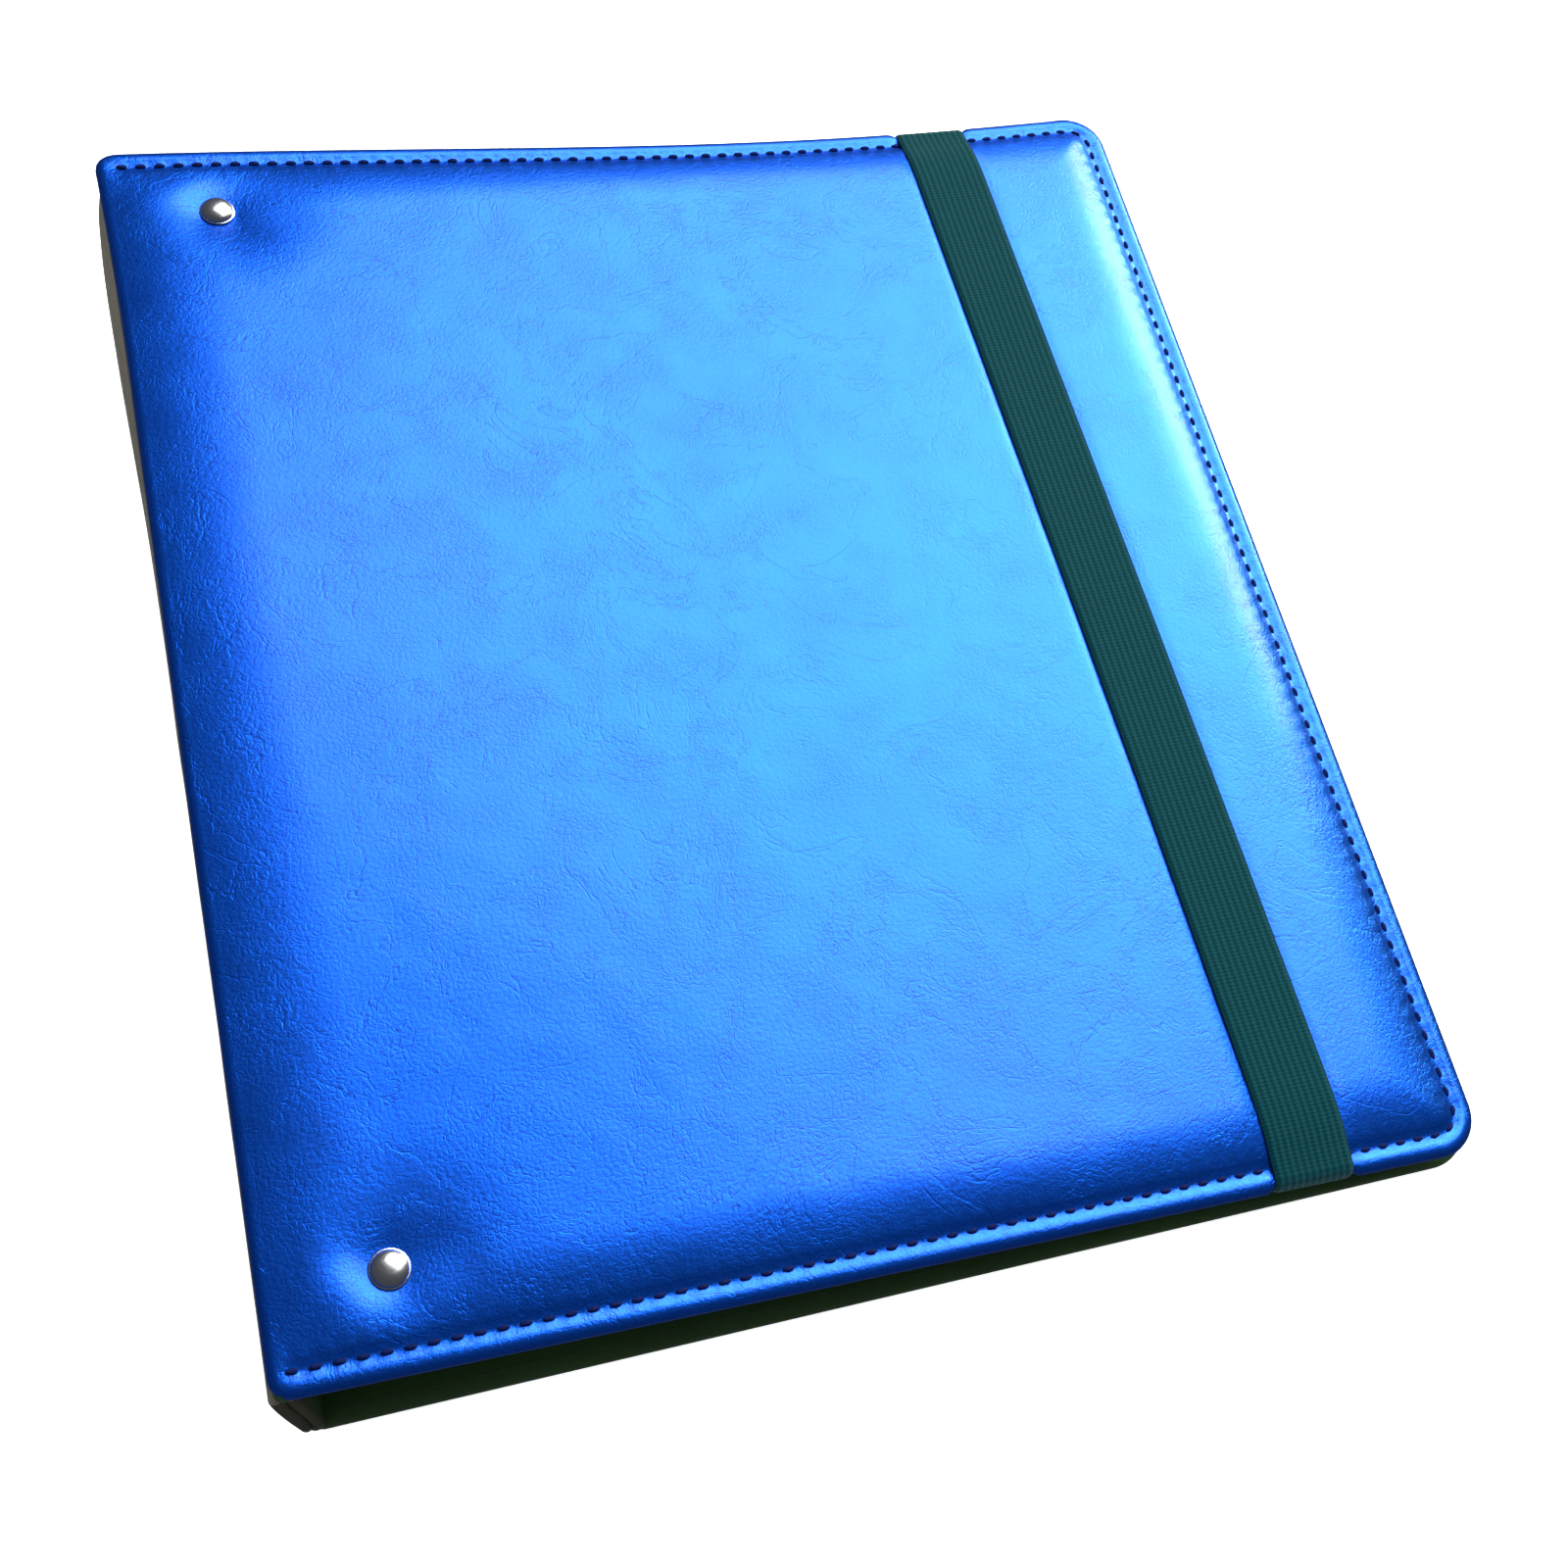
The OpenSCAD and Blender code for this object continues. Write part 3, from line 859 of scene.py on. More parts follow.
        # the stitch line lies in a valley, pulled deeper at each needle hole, between two low swells
        valley, pull, swell = 0.30 * MM, 0.42 * MM, 0.30 * MM
        stitched = smooth((x - self.first_stitch + 3 * MM) / (3 * MM))
        s = self.along(x, y) / self.path_length() * self.stitch_count()
        hole = 0.5 + 0.5 * np.cos(2 * math.pi * s)
        z = z - stitched * bell(d - self.stitch_inset, 1.2 * MM) * (valley + pull * (1 - hole))
        z = z + stitched * swell * (0.5 - hole) * bell(d - self.stitch_inset - 2.0 * MM, 1.6 * MM)
        z = z + stitched * swell * bell(d - 2.9 * MM, 1.3 * MM)
        # slack in the leather
        slack = rise * spine_rise
        z = z + slack * (0.13 * soft_noise(x, y, 46 * MM, 3) + 0.045 * soft_noise(x, y, 21 * MM, 5)) * MM
        z = z + slack * 0.03 * MM * soft_noise(x + 0.4 * y, y, 7 * MM, 8)
        for number in range(len(self.rivets)):
            z = self.pulled_down(z, x, y, number)
        if self.strapped:
            press = smooth((self.groove_half - np.abs(x - self.strap_centre(y))) / (3.5 * MM))
            # on the pad, and again on the edge that the strap wraps round
            z = z - press * self.groove * smooth((d - 4 * MM) / (14 * MM))
            z = z - press * 0.5 * MM * smooth((6 * MM - d) / (3 * MM))
        return z

    def pulled_down(self, z: np.ndarray, x: np.ndarray, y: np.ndarray, number: int) -> np.ndarray:
        """Pulls the surface down round a rivet, with soft creases that run out from it.

        Args:
            z: The heights so far.
            x: The places, from the hinge line.
            y: The places, towards the head.
            number: Which rivet, which also sets where its creases run.

        Returns:
            The new heights.
        """
        dx, dy = x - self.rivets[number][0], y - self.rivets[number][1]
        r = np.hypot(dx, dy)
        angle = np.arctan2(dy, dx)
        seat = self.rim_z + 0.15 * MM
        wide = self.dimple * (1 + 0.34 * np.cos(angle - 0.2))
        pull = (1 - np.clip((r - self.rivet_r) / wide, 0, 1)) ** 2.4
        creases = 0.6 * np.cos(3 * angle + number * 2.1) + 0.25 * np.cos(5 * angle + 1.3 + number)
        near = bell(r - 9.5 * MM, 6.0 * MM) * smooth((r - 4.5 * MM) / (3 * MM))
        return z + (seat - z) * pull + 0.18 * MM * creases * near

    def strap_centre(self, y: np.ndarray) -> np.ndarray:
        """Where the strap's middle crosses the cover, along x.

        Args:
            y: Places, towards the head.

        Returns:
            The places, from the hinge line.
        """
        head_x, tail_x = (sum(corner[0] for corner in UPPER.local_box(f"{end}_strap_end")) / 2
                          for end in ("head", "tail"))
        return tail_x + (head_x - tail_x) * (y + self.half_h) / (2 * self.half_h)

    def rounded(self, x: np.ndarray, y: np.ndarray, inset: float) -> tuple[np.ndarray, np.ndarray]:
        """Rounds the four corners of a square-cornered grid of places that lies inset from the edges.

        Args:
            x: Places, from the hinge line.
            y: Places, towards the head.
            inset: How far the grid lies in from the edges.

        Returns:
            The new places, as x and y.
        """
        fore_x, high_y = self.reach - inset, self.half_h - inset
        spine_x = self.spine_x + inset - self.edge_r
        for radius, at_fore in ((self.corner - inset, True), (self.spine_corner, False)):
            cy = high_y - radius
            cx = fore_x - radius if at_fore else spine_x + radius
            a = np.clip((x - cx) / radius if at_fore else (cx - x) / radius, 0, 1)
            b = np.clip((np.abs(y) - cy) / radius, 0, 1)
            corner = (a > 0) & (b > 0)
            across = radius * a * np.sqrt(1 - b * b / 2) * (1 if at_fore else -1)
            x, y = (np.where(corner, cx + across, x),
                    np.where(corner, np.sign(y) * (cy + radius * b * np.sqrt(1 - a * a / 2)), y))
        return x, y

    def grid(self, inset: float, step: float) -> tuple[np.ndarray, np.ndarray]:
        """A grid of places over the cover, inset from its edges, with rounded corners.

        Args:
            inset: How far it lies in from the edges.
            step: Distance between its points.

        Returns:
            The places, as x and y.
        """
        x = np.linspace(self.spine_x + inset - self.edge_r, self.reach - inset,
                        round((self.reach - self.spine_x) / step) + 1)
        y = np.linspace(inset - self.half_h, self.half_h - inset, round(2 * self.half_h / step) + 1)
        gx, gy = np.meshgrid(x, y)
        return self.rounded(gx, gy, inset)

    def surface(self) -> bpy.types.Object:
        """Makes the closed leather: its outer face, its turned edge and its flat inside.

        Returns:
            The new piece.
        """
        x, y = self.grid(self.edge_r, self.step)
        if self.strapped:
            near_head = np.clip((y - self.half_h) / self.flare_long + 1, 0, 1)
            near_hinge = 1 - np.clip(x / self.flare_wide, 0, 1)
            x = x - self.flare * near_head ** 2 * near_hinge ** 2
        top = self.height(x, y)
        points = [self.place(x, y, top)]
        faces, loop = grid_faces(*x.shape)
        marks = [0] * len(faces)
        lx, ly, lz = x.ravel()[loop], y.ravel()[loop], top.ravel()[loop]
        tx, ty = np.roll(lx, -1) - np.roll(lx, 1), np.roll(ly, -1) - np.roll(ly, 1)
        out_x, out_y = ty / np.hypot(tx, ty), -tx / np.hypot(tx, ty)
        swell = np.full_like(lx, self.edge_r)
        if self.strapped:
            under_strap = smooth((12.0 * MM - np.abs(lx - self.strap_centre(ly))) / (3 * MM))
            swell = swell - self.pinch * under_strap * (np.abs(out_y) > 0.9)
        middle = self.under_z + 0.45 * (lz - self.under_z)
        last, count, total = loop, len(loop), x.size
        turned = self.side is Side.LOWER
        for angle in np.linspace(0, math.pi, 9)[1:]:
            half = np.where(angle < math.pi / 2, lz - middle, middle - self.under_z)
            ring = self.place(lx + out_x * swell * math.sin(angle), ly + out_y * swell * math.sin(angle),
                              middle + half * math.cos(angle))
            last = self.add_ring(points, faces, ring, last, total)
            total += count
            marks += [1 if turned and angle > 0.9 else 0] * count
        # the turned-in hem, under the lining
        hem = self.place(self.hem_centre + (lx - self.hem_centre) * 0.94, ly * 0.95, self.under_z)
        last = self.add_ring(points, faces, hem, last, total)
        marks += [1 if turned else 0] * count
        faces.append(last[::-1].tolist())
        marks.append(1)
        name = f"{self.side.value}_cover_leather"
        return recalculated(make_piece(name, np.concatenate(points), faces, [COVER_BLUE, LINING_DARK], marks))

    @staticmethod
    def add_ring(points: list, faces: list, ring: np.ndarray, last: np.ndarray, total: int) -> np.ndarray:
        """Joins a new ring of points to the last one.

        Args:
            points: The lists of points so far.
            faces: The faces so far.
            ring: The new points.
            last: The corner numbers of the last ring.
            total: How many points there are already.

        Returns:
            The corner numbers of the new ring.
        """
        points.append(ring)
        fresh = np.arange(total, total + len(ring))
        faces += np.stack([last, fresh, np.roll(fresh, -1), np.roll(last, -1)], axis=-1).tolist()
        return fresh

    def layer(self, name: str, inset: float, low: Callable, high: Callable, finish: bpy.types.Material,
              step: float = 4 * MM) -> bpy.types.Object:
        """Makes one flat layer of the cover as a closed plate.

        Args:
            name: The piece's name.
            inset: Its distance from the cover's edges.
            low: The height of its lower face, from places.
            high: The height of its upper face, from places.
            finish: Its material.
            step: Distance between its points.

        Returns:
            The new piece.
        """
        x, y = self.grid(inset, step)
        faces, loop = grid_faces(*x.shape)
        faces += [[c + x.size for c in face[::-1]] for face in faces]
        points = [self.place(x, y, high(x, y)), self.place(x, y, low(x, y))]
        ahead = np.roll(loop, -1)
        faces += np.stack([loop, loop + x.size, ahead + x.size, ahead], axis=-1).tolist()
        return crease(recalculated(make_piece(name, np.concatenate(points), faces, [finish])), 40)

    def layers(self) -> list[tuple[bpy.types.Object, str]]:
        """Makes the foam, the board and the lining.

        Returns:
            The pieces, each with its node's short name.
        """
        side = self.side.value
        board_z = self.under_z + 0.62 * (self.rim_z - self.under_z)

        def pad_under(x: np.ndarray, y: np.ndarray) -> np.ndarray:
            """The leather's inner face."""
            return np.maximum(self.height(x, y) - self.skin, board_z + 0.25 * MM)

        foam = self.layer(f"{side}_foam_pad", 7.5 * MM, lambda x, y: board_z + 0.05 * MM, pad_under,
                          FOAM_CREAM)
        board = self.layer(f"{side}_board_panel", 3.2 * MM, lambda x, y: self.under_z + 0.1 * MM,
                           lambda x, y: board_z, BOARD_GREY)
        lining = self.layer(f"{side}_lining_panel", 3.6 * MM, lambda x, y: self.lining_z,
                            lambda x, y: self.under_z - 0.02 * MM, LINING_DARK)
        return [(foam, "foam"), (board, "board"), (lining, "lining")]

    def stitches(self) -> bpy.types.Object:
        """Makes the row of stitches, one short bead of thread for each.

        Returns:
            The new piece.
        """
        count = self.stitch_count()
        x, y = self.path_point(np.linspace(0, self.path_length(), 6 * count + 1))
        line = self.place(x, y, self.height(x, y) + 0.30 * MM)
        mesh = bpy.data.meshes.new("line")
        mesh.from_pydata([tuple(p) for p in line], [(i, i + 1) for i in range(len(line) - 1)], [])
        piece = bpy.data.objects.new(f"{self.side.value}_stitches", mesh)
        bpy.context.scene.collection.objects.link(piece)
        stitch_row(piece, count, self.stitch_pitch * 0.60, self.thread, THREAD_NAVY)
        return bake(piece)


def stitch_row(piece: bpy.types.Object, count: int, length: float, thread: float,
               finish: bpy.types.Material) -> None:
    """Gives a line of points a modifier that lays stitches along it.

    Args:
        piece: The object whose mesh is the line.
        count: How many stitches.
        length: Length of a stitch.
        thread: Radius of the thread.
        finish: The thread's material.
    """
    tree = bpy.data.node_groups.new("stitch_row", "GeometryNodeTree")
    sockets = [("Line", "NodeSocketGeometry", None), ("Stitches", "NodeSocketInt", count),
               ("Stitch Length", "NodeSocketFloat", length), ("Thread Radius", "NodeSocketFloat", thread),
               ("Thread", "NodeSocketMaterial", finish)]
    keys = {}
    for name, kind, _ in sockets:
        keys[name] = tree.interface.new_socket(name, in_out="INPUT", socket_type=kind).identifier
    tree.interface.new_socket("Row", in_out="OUTPUT", socket_type="NodeSocketGeometry")
    add = partial(add_node, tree)
    given = add("NodeGroupInput").outputs
    curve = add("GeometryNodeMeshToCurve", {"Mesh": given["Line"]})
    evenly = add("GeometryNodeResampleCurve", {"Curve": curve.outputs[0], "Count": given["Stitches"]})
    facing = add("GeometryNodeInputTangent")
    turn = add("FunctionNodeAlignRotationToVector", {"Vector": facing.outputs[0]}, axis="X")
    bead = add("GeometryNodeMeshUVSphere", {"Segments": 10, "Rings": 7, "Radius": 1.0})
    half = add("ShaderNodeMath", {0: given["Stitch Length"], 1: 0.5}, operation="MULTIPLY")
    size = add("ShaderNodeCombineXYZ", {0: half.outputs[0], 1: given["Thread Radius"],
                                        2: given["Thread Radius"]})
    shaped = add("GeometryNodeTransform", {"Geometry": bead.outputs[0], "Scale": size.outputs[0]})
    laid = add("GeometryNodeInstanceOnPoints", {"Points": evenly.outputs[0], "Instance": shaped.outputs[0],
                                                "Rotation": turn.outputs[0]})
    real = add("GeometryNodeRealizeInstances", {"Geometry": laid.outputs[0]})
    dressed = add("GeometryNodeSetMaterial", {"Geometry": real.outputs[0], "Material": given["Thread"]})
    soft = add("GeometryNodeSetShadeSmooth", {"Geometry": dressed.outputs[0]})
    add("NodeGroupOutput", {0: soft.outputs[0]})
    modifier = piece.modifiers.new("stitches", "NODES")
    modifier.node_group = tree
    for name, _, value in sockets[1:]:
        modifier[keys[name]] = value


# ---------------------------------------------------------------- spine and its folds


@dataclass
class Spine:
    """The soft spine panel.

    Attributes:
        bulge: How far its outer face swells.
        puff: How much more it swells near the head end.
        puff_y: Where it swells most.
        puff_head: How soon the puff fades towards the head.
        puff_tail: How soon it fades towards the tail.
        head_gap: How far its head end stands back from the covers'.
        hinge_gap: Distance from its long edges to the hinge lines.
        step: Distance between the mesh's points.
    """

    bulge: float = 1.7 * MM
    puff: float = 3.4 * MM
    puff_y: float = 134 * MM
    puff_head: float = 40 * MM
    puff_tail: float = 75 * MM
    head_gap: float = 2.8 * MM
    hinge_gap: float = 1.2 * MM
    step: float = 2.0 * MM

    def __post_init__(self) -> None:
        """Reads the panel's sizes from the frame."""
        skin_low, skin_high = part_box("spine_skin")
        self.out_x, self.in_x = skin_low.x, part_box("spine_lining")[1].x
        self.half_h = skin_high.y
        self.low_z, self.high_z = LOWER.origin.z, UPPER.origin.z
        self.mid_x = self.out_x + 0.52 * (self.in_x - self.out_x)

    def fullness(self, y: np.ndarray) -> np.ndarray:
        """How full the outer face is along its length, fullest near the head and flat at its end.

        Args:
            y: Places, towards the head.

        Returns:
            The fullness, as a share of the bulge.
        """
        slack = 0.3 + 0.7 * smooth((y + 0.7 * self.half_h) / self.half_h)
        past = y - self.puff_y
        puffed = bell(np.maximum(past, 0), self.puff_head) * bell(np.minimum(past, 0), self.puff_tail)
        taper = smooth((self.half_h - y) / (8 * MM)) * 0.85 + 0.15
        return (slack + self.puff / self.bulge * puffed) * taper

    def panel(self, name: str, x_out: float, x_in: float, swell: float,
              finishes: Sequence) -> bpy.types.Object:
        """Makes one closed soft panel.

        Args:
            name: The piece's name.
            x_out: Its face away from the pages.
            x_in: Its face towards the pages.
            swell: How far the outer face bulges.
            finishes: The materials of its outer face, its inner face and its two ends.

        Returns:
            The new piece.
        """
        z0, z1 = self.low_z + self.hinge_gap, self.high_z - self.hinge_gap
        edge = 0.45 * (x_in - x_out)
        ny, nz = round(2 * self.half_h / self.step), round((z1 - z0) / self.step)
        gy, gz = np.meshgrid(np.linspace(-self.half_h + edge, self.half_h - self.head_gap - edge, ny),
                             np.linspace(z0 + edge * 0.6, z1 - edge * 0.6, nz))
        t = (gz - z0) / (z1 - z0)
        crown = np.sin(math.pi * t) ** 0.8
        outer = x_out - swell * crown * self.fullness(gy) + 0.12 * MM * soft_noise(gy, gz, 17 * MM, 11)
        inner = np.full_like(outer, x_in)
        front, loop = grid_faces(*gy.shape)
        ly, lz = gy.ravel()[loop], gz.ravel()[loop]
        lo, li = outer.ravel()[loop], inner.ravel()[loop]
        at_end = (ly < -self.half_h + edge + 1e-7) | (ly > self.half_h - self.head_gap - edge - 1e-7)
        out_y = np.where(at_end, np.sign(ly), 0.0)
        out_z = np.where(lz < z0 + edge * 0.6 + 1e-7, -1.0, np.where(lz > z1 - edge * 0.6 - 1e-7, 1.0, 0.0))
        points = [np.stack([face, gy, gz], axis=-1).reshape(-1, 3) for face in (outer, inner)]
        total = gy.size
        faces = front + [[c + total for c in face[::-1]] for face in front]
        marks = [0] * len(front) + [1] * len(front)
        # the end rims take the third finish, the painted shade of the spine's ends
        rim_marks = np.where(at_end & np.roll(at_end, -1), 2, 0).tolist()
        last, count = loop, 2 * total
        for angle in np.linspace(0, math.pi, 8)[1:-1]:
            middle, half = (lo + li) / 2, (li - lo) / 2
            ring = np.stack([middle - half * math.cos(angle), ly + out_y * edge * math.sin(angle),
                             lz + out_z * 0.6 * edge * math.sin(angle)], axis=-1)
            last = PaddedCover.add_ring(points, faces, ring, last, count)
            count += len(loop)
            marks += rim_marks
        ahead = np.roll(loop, -1) + total
        faces += np.stack([last, loop + total, ahead, np.roll(last, -1)], axis=-1).tolist()
        marks += rim_marks
        return recalculated(make_piece(name, np.concatenate(points), faces, finishes, marks))


def hinge_roll(name: str, node: str, head_gap: float) -> bpy.types.Object:
    """Makes the roll of leather along a hinge line, with domed ends.

    Args:
        name: The piece's name.
        node: The CAD fold that it stands for.
        head_gap: How far its head end stands back.

    Returns:
        The new piece.
    """
    low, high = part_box(node)
    centre_x, centre_z = (low.x + high.x) / 2, (low.z + high.z) / 2
    radius = min(high.x - low.x, high.z - low.z) / 2
    sides, lengths = 24, 79
    dome = np.linspace(0, math.pi / 2, 7)
    tail_y, head_y = low.y + radius, high.y - head_gap - radius
    ys = np.concatenate([tail_y - radius * np.cos(dome), np.linspace(tail_y, head_y, lengths + 1)[1:],
                         head_y + radius * np.sin(dome)[1:]])
    rs = np.concatenate([radius * np.sin(dome), np.full(lengths, radius), radius * np.cos(dome)[1:]])
    turns = np.linspace(0, 2 * math.pi, sides, endpoint=False)
    points, faces, last = [], [list(range(sides))], np.arange(sides)
    for number, (y, r) in enumerate(zip(ys, np.maximum(rs, 0.05 * MM))):
        ring = np.stack([centre_x + r * np.cos(turns), np.full(sides, y), centre_z + r * np.sin(turns)],
                        axis=-1)
        if number:
            last = PaddedCover.add_ring(points, faces, ring, last, number * sides)
        else:
            points.append(ring)
    faces.append(last[::-1].tolist())
    return recalculated(make_piece(name, np.concatenate(points), faces, [LINING_DARK]))


# ---------------------------------------------------------------- strap


@dataclass
class Strap:
    """The flat elastic strap round the upper cover, made in a head half and a tail half.

    Attributes:
        cover: The upper cover, whose surface it lies on.
        columns: Points across its width.
        step: Distance between rows along it.
        rib: Distance from cord to cord.
        thick: Its thickness.
        bend: How far it rounds the cover's edge.
        rim_in: Distance from the cover's edge to the rim that it lies over.
        play: Space between it and the leather.
        blend_x: A place where it crosses the cover, from the hinge line; main reads points there but does not use
            them.
        held_y: A distance from its middle; main reads a point there but does not use it.
        free_y: A distance from its middle; main reads a point there but does not use it.
    """

    cover: PaddedCover
    columns: int = 31
    step: float = 1.5 * MM
    rib: float = 1.75 * MM
    thick: float = 1.15 * MM
    bend: float = 2.0 * MM
    rim_in: float = 3.2 * MM
    play: float = 0.12 * MM
    blend_x: float = 200 * MM
    held_y: float = 150 * MM
    free_y: float = 4 * MM

    def __post_init__(self) -> None:
        """Reads the strap's sizes from the frame."""
        low, high = UPPER.local_box("head_strap_end")
        self.width = high[0] - low[0]
        self.low_z = low[2]
        self.tuck = (high[1] - low[1]) - self.thick
        self.edge_y = high[1] - 1.4 * MM

    def centre_line(self, end: int) -> np.ndarray:
        """The underside's line along one half, from the tuck to the middle.

        Args:
            end: 1 for the head half, -1 for the tail half.

        Returns:
            Rows of y, z and the outward direction's y and z.
        """
        cover = self.cover
        under = self.low_z + self.thick
        outer_y = self.edge_y - self.thick
        rows = []
        for y in np.linspace(outer_y - self.tuck + 2 * MM, outer_y - self.bend, 6):
            rows.append((y, under, 0.0, -1.0))
        x = float(cover.strap_centre(np.array(end * cover.half_h)))
        rim = float(cover.height(np.array(x), np.array(end * (cover.half_h - self.rim_in)))) + 0.1 * MM
        middle, half = (under + rim) / 2, (rim - under) / 2
        for angle in np.linspace(-math.pi / 2, math.pi / 2, 15):
            out_y, out_z = math.cos(angle), math.sin(angle)
            rows.append((outer_y - self.bend + self.bend * out_y, middle + half * out_z, out_y, out_z))
        for y in np.arange(outer_y - self.bend - self.step, 0, -self.step):
            rows.append((y, self.rest_height(end * y), 0.0, 1.0))
        rows.append((0.0, self.rest_height(0.0), 0.0, 1.0))
        line = np.array(rows)
        line[:, 0] *= end
        line[:, 2] *= end
        return line

    def rest_height(self, y: float) -> float:
        """Height of the strap's underside over the cover's middle plane: it bridges the stitched valley.

        Args:
            y: A place, towards the head.

        Returns:
            The height.
        """
        reach = np.linspace(-3.5 * MM, 3.5 * MM, 5)
        ys = np.clip(y + reach, self.rim_in - self.cover.half_h, self.cover.half_h - self.rim_in)
        x = self.cover.strap_centre(ys)
        across = np.linspace(-0.4, 0.4, 5) * self.width
        return float(np.mean([self.cover.height(x + a, ys) for a in across])) + self.play

    def half(self, name: str, end: int) -> bpy.types.Object:
        """Makes one half of the strap.

        Args:
            name: The piece's name.
            end: 1 for the head half, -1 for the tail half.

        Returns:
            The new piece, with a UV map of its width and length in metres.
        """
        line = self.centre_line(end)
        steps = np.hypot(np.diff(line[:, 0]), np.diff(line[:, 1]))
        run = np.concatenate([[0], np.cumsum(steps)])
        u = np.linspace(-0.5, 0.5, self.columns)
        edge = np.sqrt(np.clip(1 - (np.abs(u) * 2) ** 14, 0, 1))
        face = self.thick * (0.5 + 0.5 * edge)
        back = self.thick * (0.5 - 0.5 * edge)
        upper = face + 0.05 * MM * np.cos(2 * math.pi * u * self.width / self.rib)
        across = np.concatenate([u, u[-2:0:-1]])
        lift = np.concatenate([upper, back[-2:0:-1]])
        ring = len(across)
        centres = self.cover.strap_centre(line[:, 0])
        rows = []
        for (y, z, ny, nz), centre in zip(line, centres):
            rows.append(self.cover.place(centre + across * self.width, y + ny * lift, z + nz * lift))
        points = np.concatenate(rows)
        index = np.arange(len(points)).reshape(len(line), ring)
        ahead = np.roll(index, -1, axis=1)
        faces = np.stack([index[:-1], ahead[:-1], ahead[1:], index[1:]], axis=-1).reshape(-1, 4).tolist()
        faces += [index[0].tolist(), index[-1][::-1].tolist()]
        piece = make_piece(name, points, faces, [STRAP_TEAL])
        cloth = piece.data.uv_layers.new(name="weave")
        own = np.stack([np.tile(across * self.width, len(line)), np.repeat(run, ring)], axis=-1)
        corner = np.zeros(len(piece.data.loops), dtype=np.int32)
        piece.data.loops.foreach_get("vertex_index", corner)
        cloth.data.foreach_set("uv", own[corner].astype(np.float32).ravel())
        recalculated(piece)
        return crease(piece, 60)


# ---------------------------------------------------------------- small metal and pages


def rivet_head(name: str, node: str, cover: PaddedCover) -> bpy.types.Object:
    """Turns a rivet: a domed cap with a rolled brim, on its shank, with a flared foot.

    Args:
        name: The piece's name.
        node: The CAD rivet that it stands for.
        cover: The cover that it goes through.

    Returns:
        The new piece.
    """
    low, high = cover.plane.local_box(node)
    cx, cy = (low[0] + high[0]) / 2, (low[1] + high[1]) / 2
    radius = (high[1] - low[1]) / 2
    top, foot = high[2], low[2]
    seat = top - 2.3 * MM
    brim_h, brim_r = 0.55 * MM, 0.28 * MM
    dome = [(radius * 0.88 * math.sin(a), seat + brim_h + (top - seat - brim_h) * math.cos(a))
            for a in np.linspace(0, math.pi / 2, 14)]
    brim = [(radius * 0.89 + 0.32 * MM * math.sin(a), seat + brim_r + brim_r * math.cos(a))
            for a in np.linspace(0.5, math.pi, 7)]
    shank_r = 1.9 * MM
    shank = [(shank_r, seat), (shank_r, foot + 0.8 * MM), (3.2 * MM, foot + 0.7 * MM),
             (3.4 * MM, foot + 0.35 * MM), (3.1 * MM, foot), (0.9 * MM, foot + 0.15 * MM),
             (0.0, foot + 0.15 * MM)]
    profile = dome + brim + shank
    sides = 40
    turns = np.linspace(0, 2 * math.pi, sides, endpoint=False)
    points, faces, rings = [], [], []
    for r, z in profile:
        if r < 1e-9:
            rings.append([len(points)])
            points.append(cover.place(cx, cy, z)[0])
            continue
        rings.append(list(range(len(points), len(points) + sides)))
        points += list(cover.place(cx + r * np.cos(turns), cy + r * np.sin(turns), z))
    for near, far in zip(rings, rings[1:]):
        for k in range(sides):
            n = (k + 1) % sides
            if len(near) == 1:
                faces.append([near[0], far[k], far[n]])
            elif len(far) == 1:
                faces.append([near[k], far[0], near[n]])
            else:
                faces.append([near[k], far[k], far[n], near[n]])
    piece = recalculated(make_piece(name, points, faces, [RING_NICKEL]))
    return crease(piece, 40)


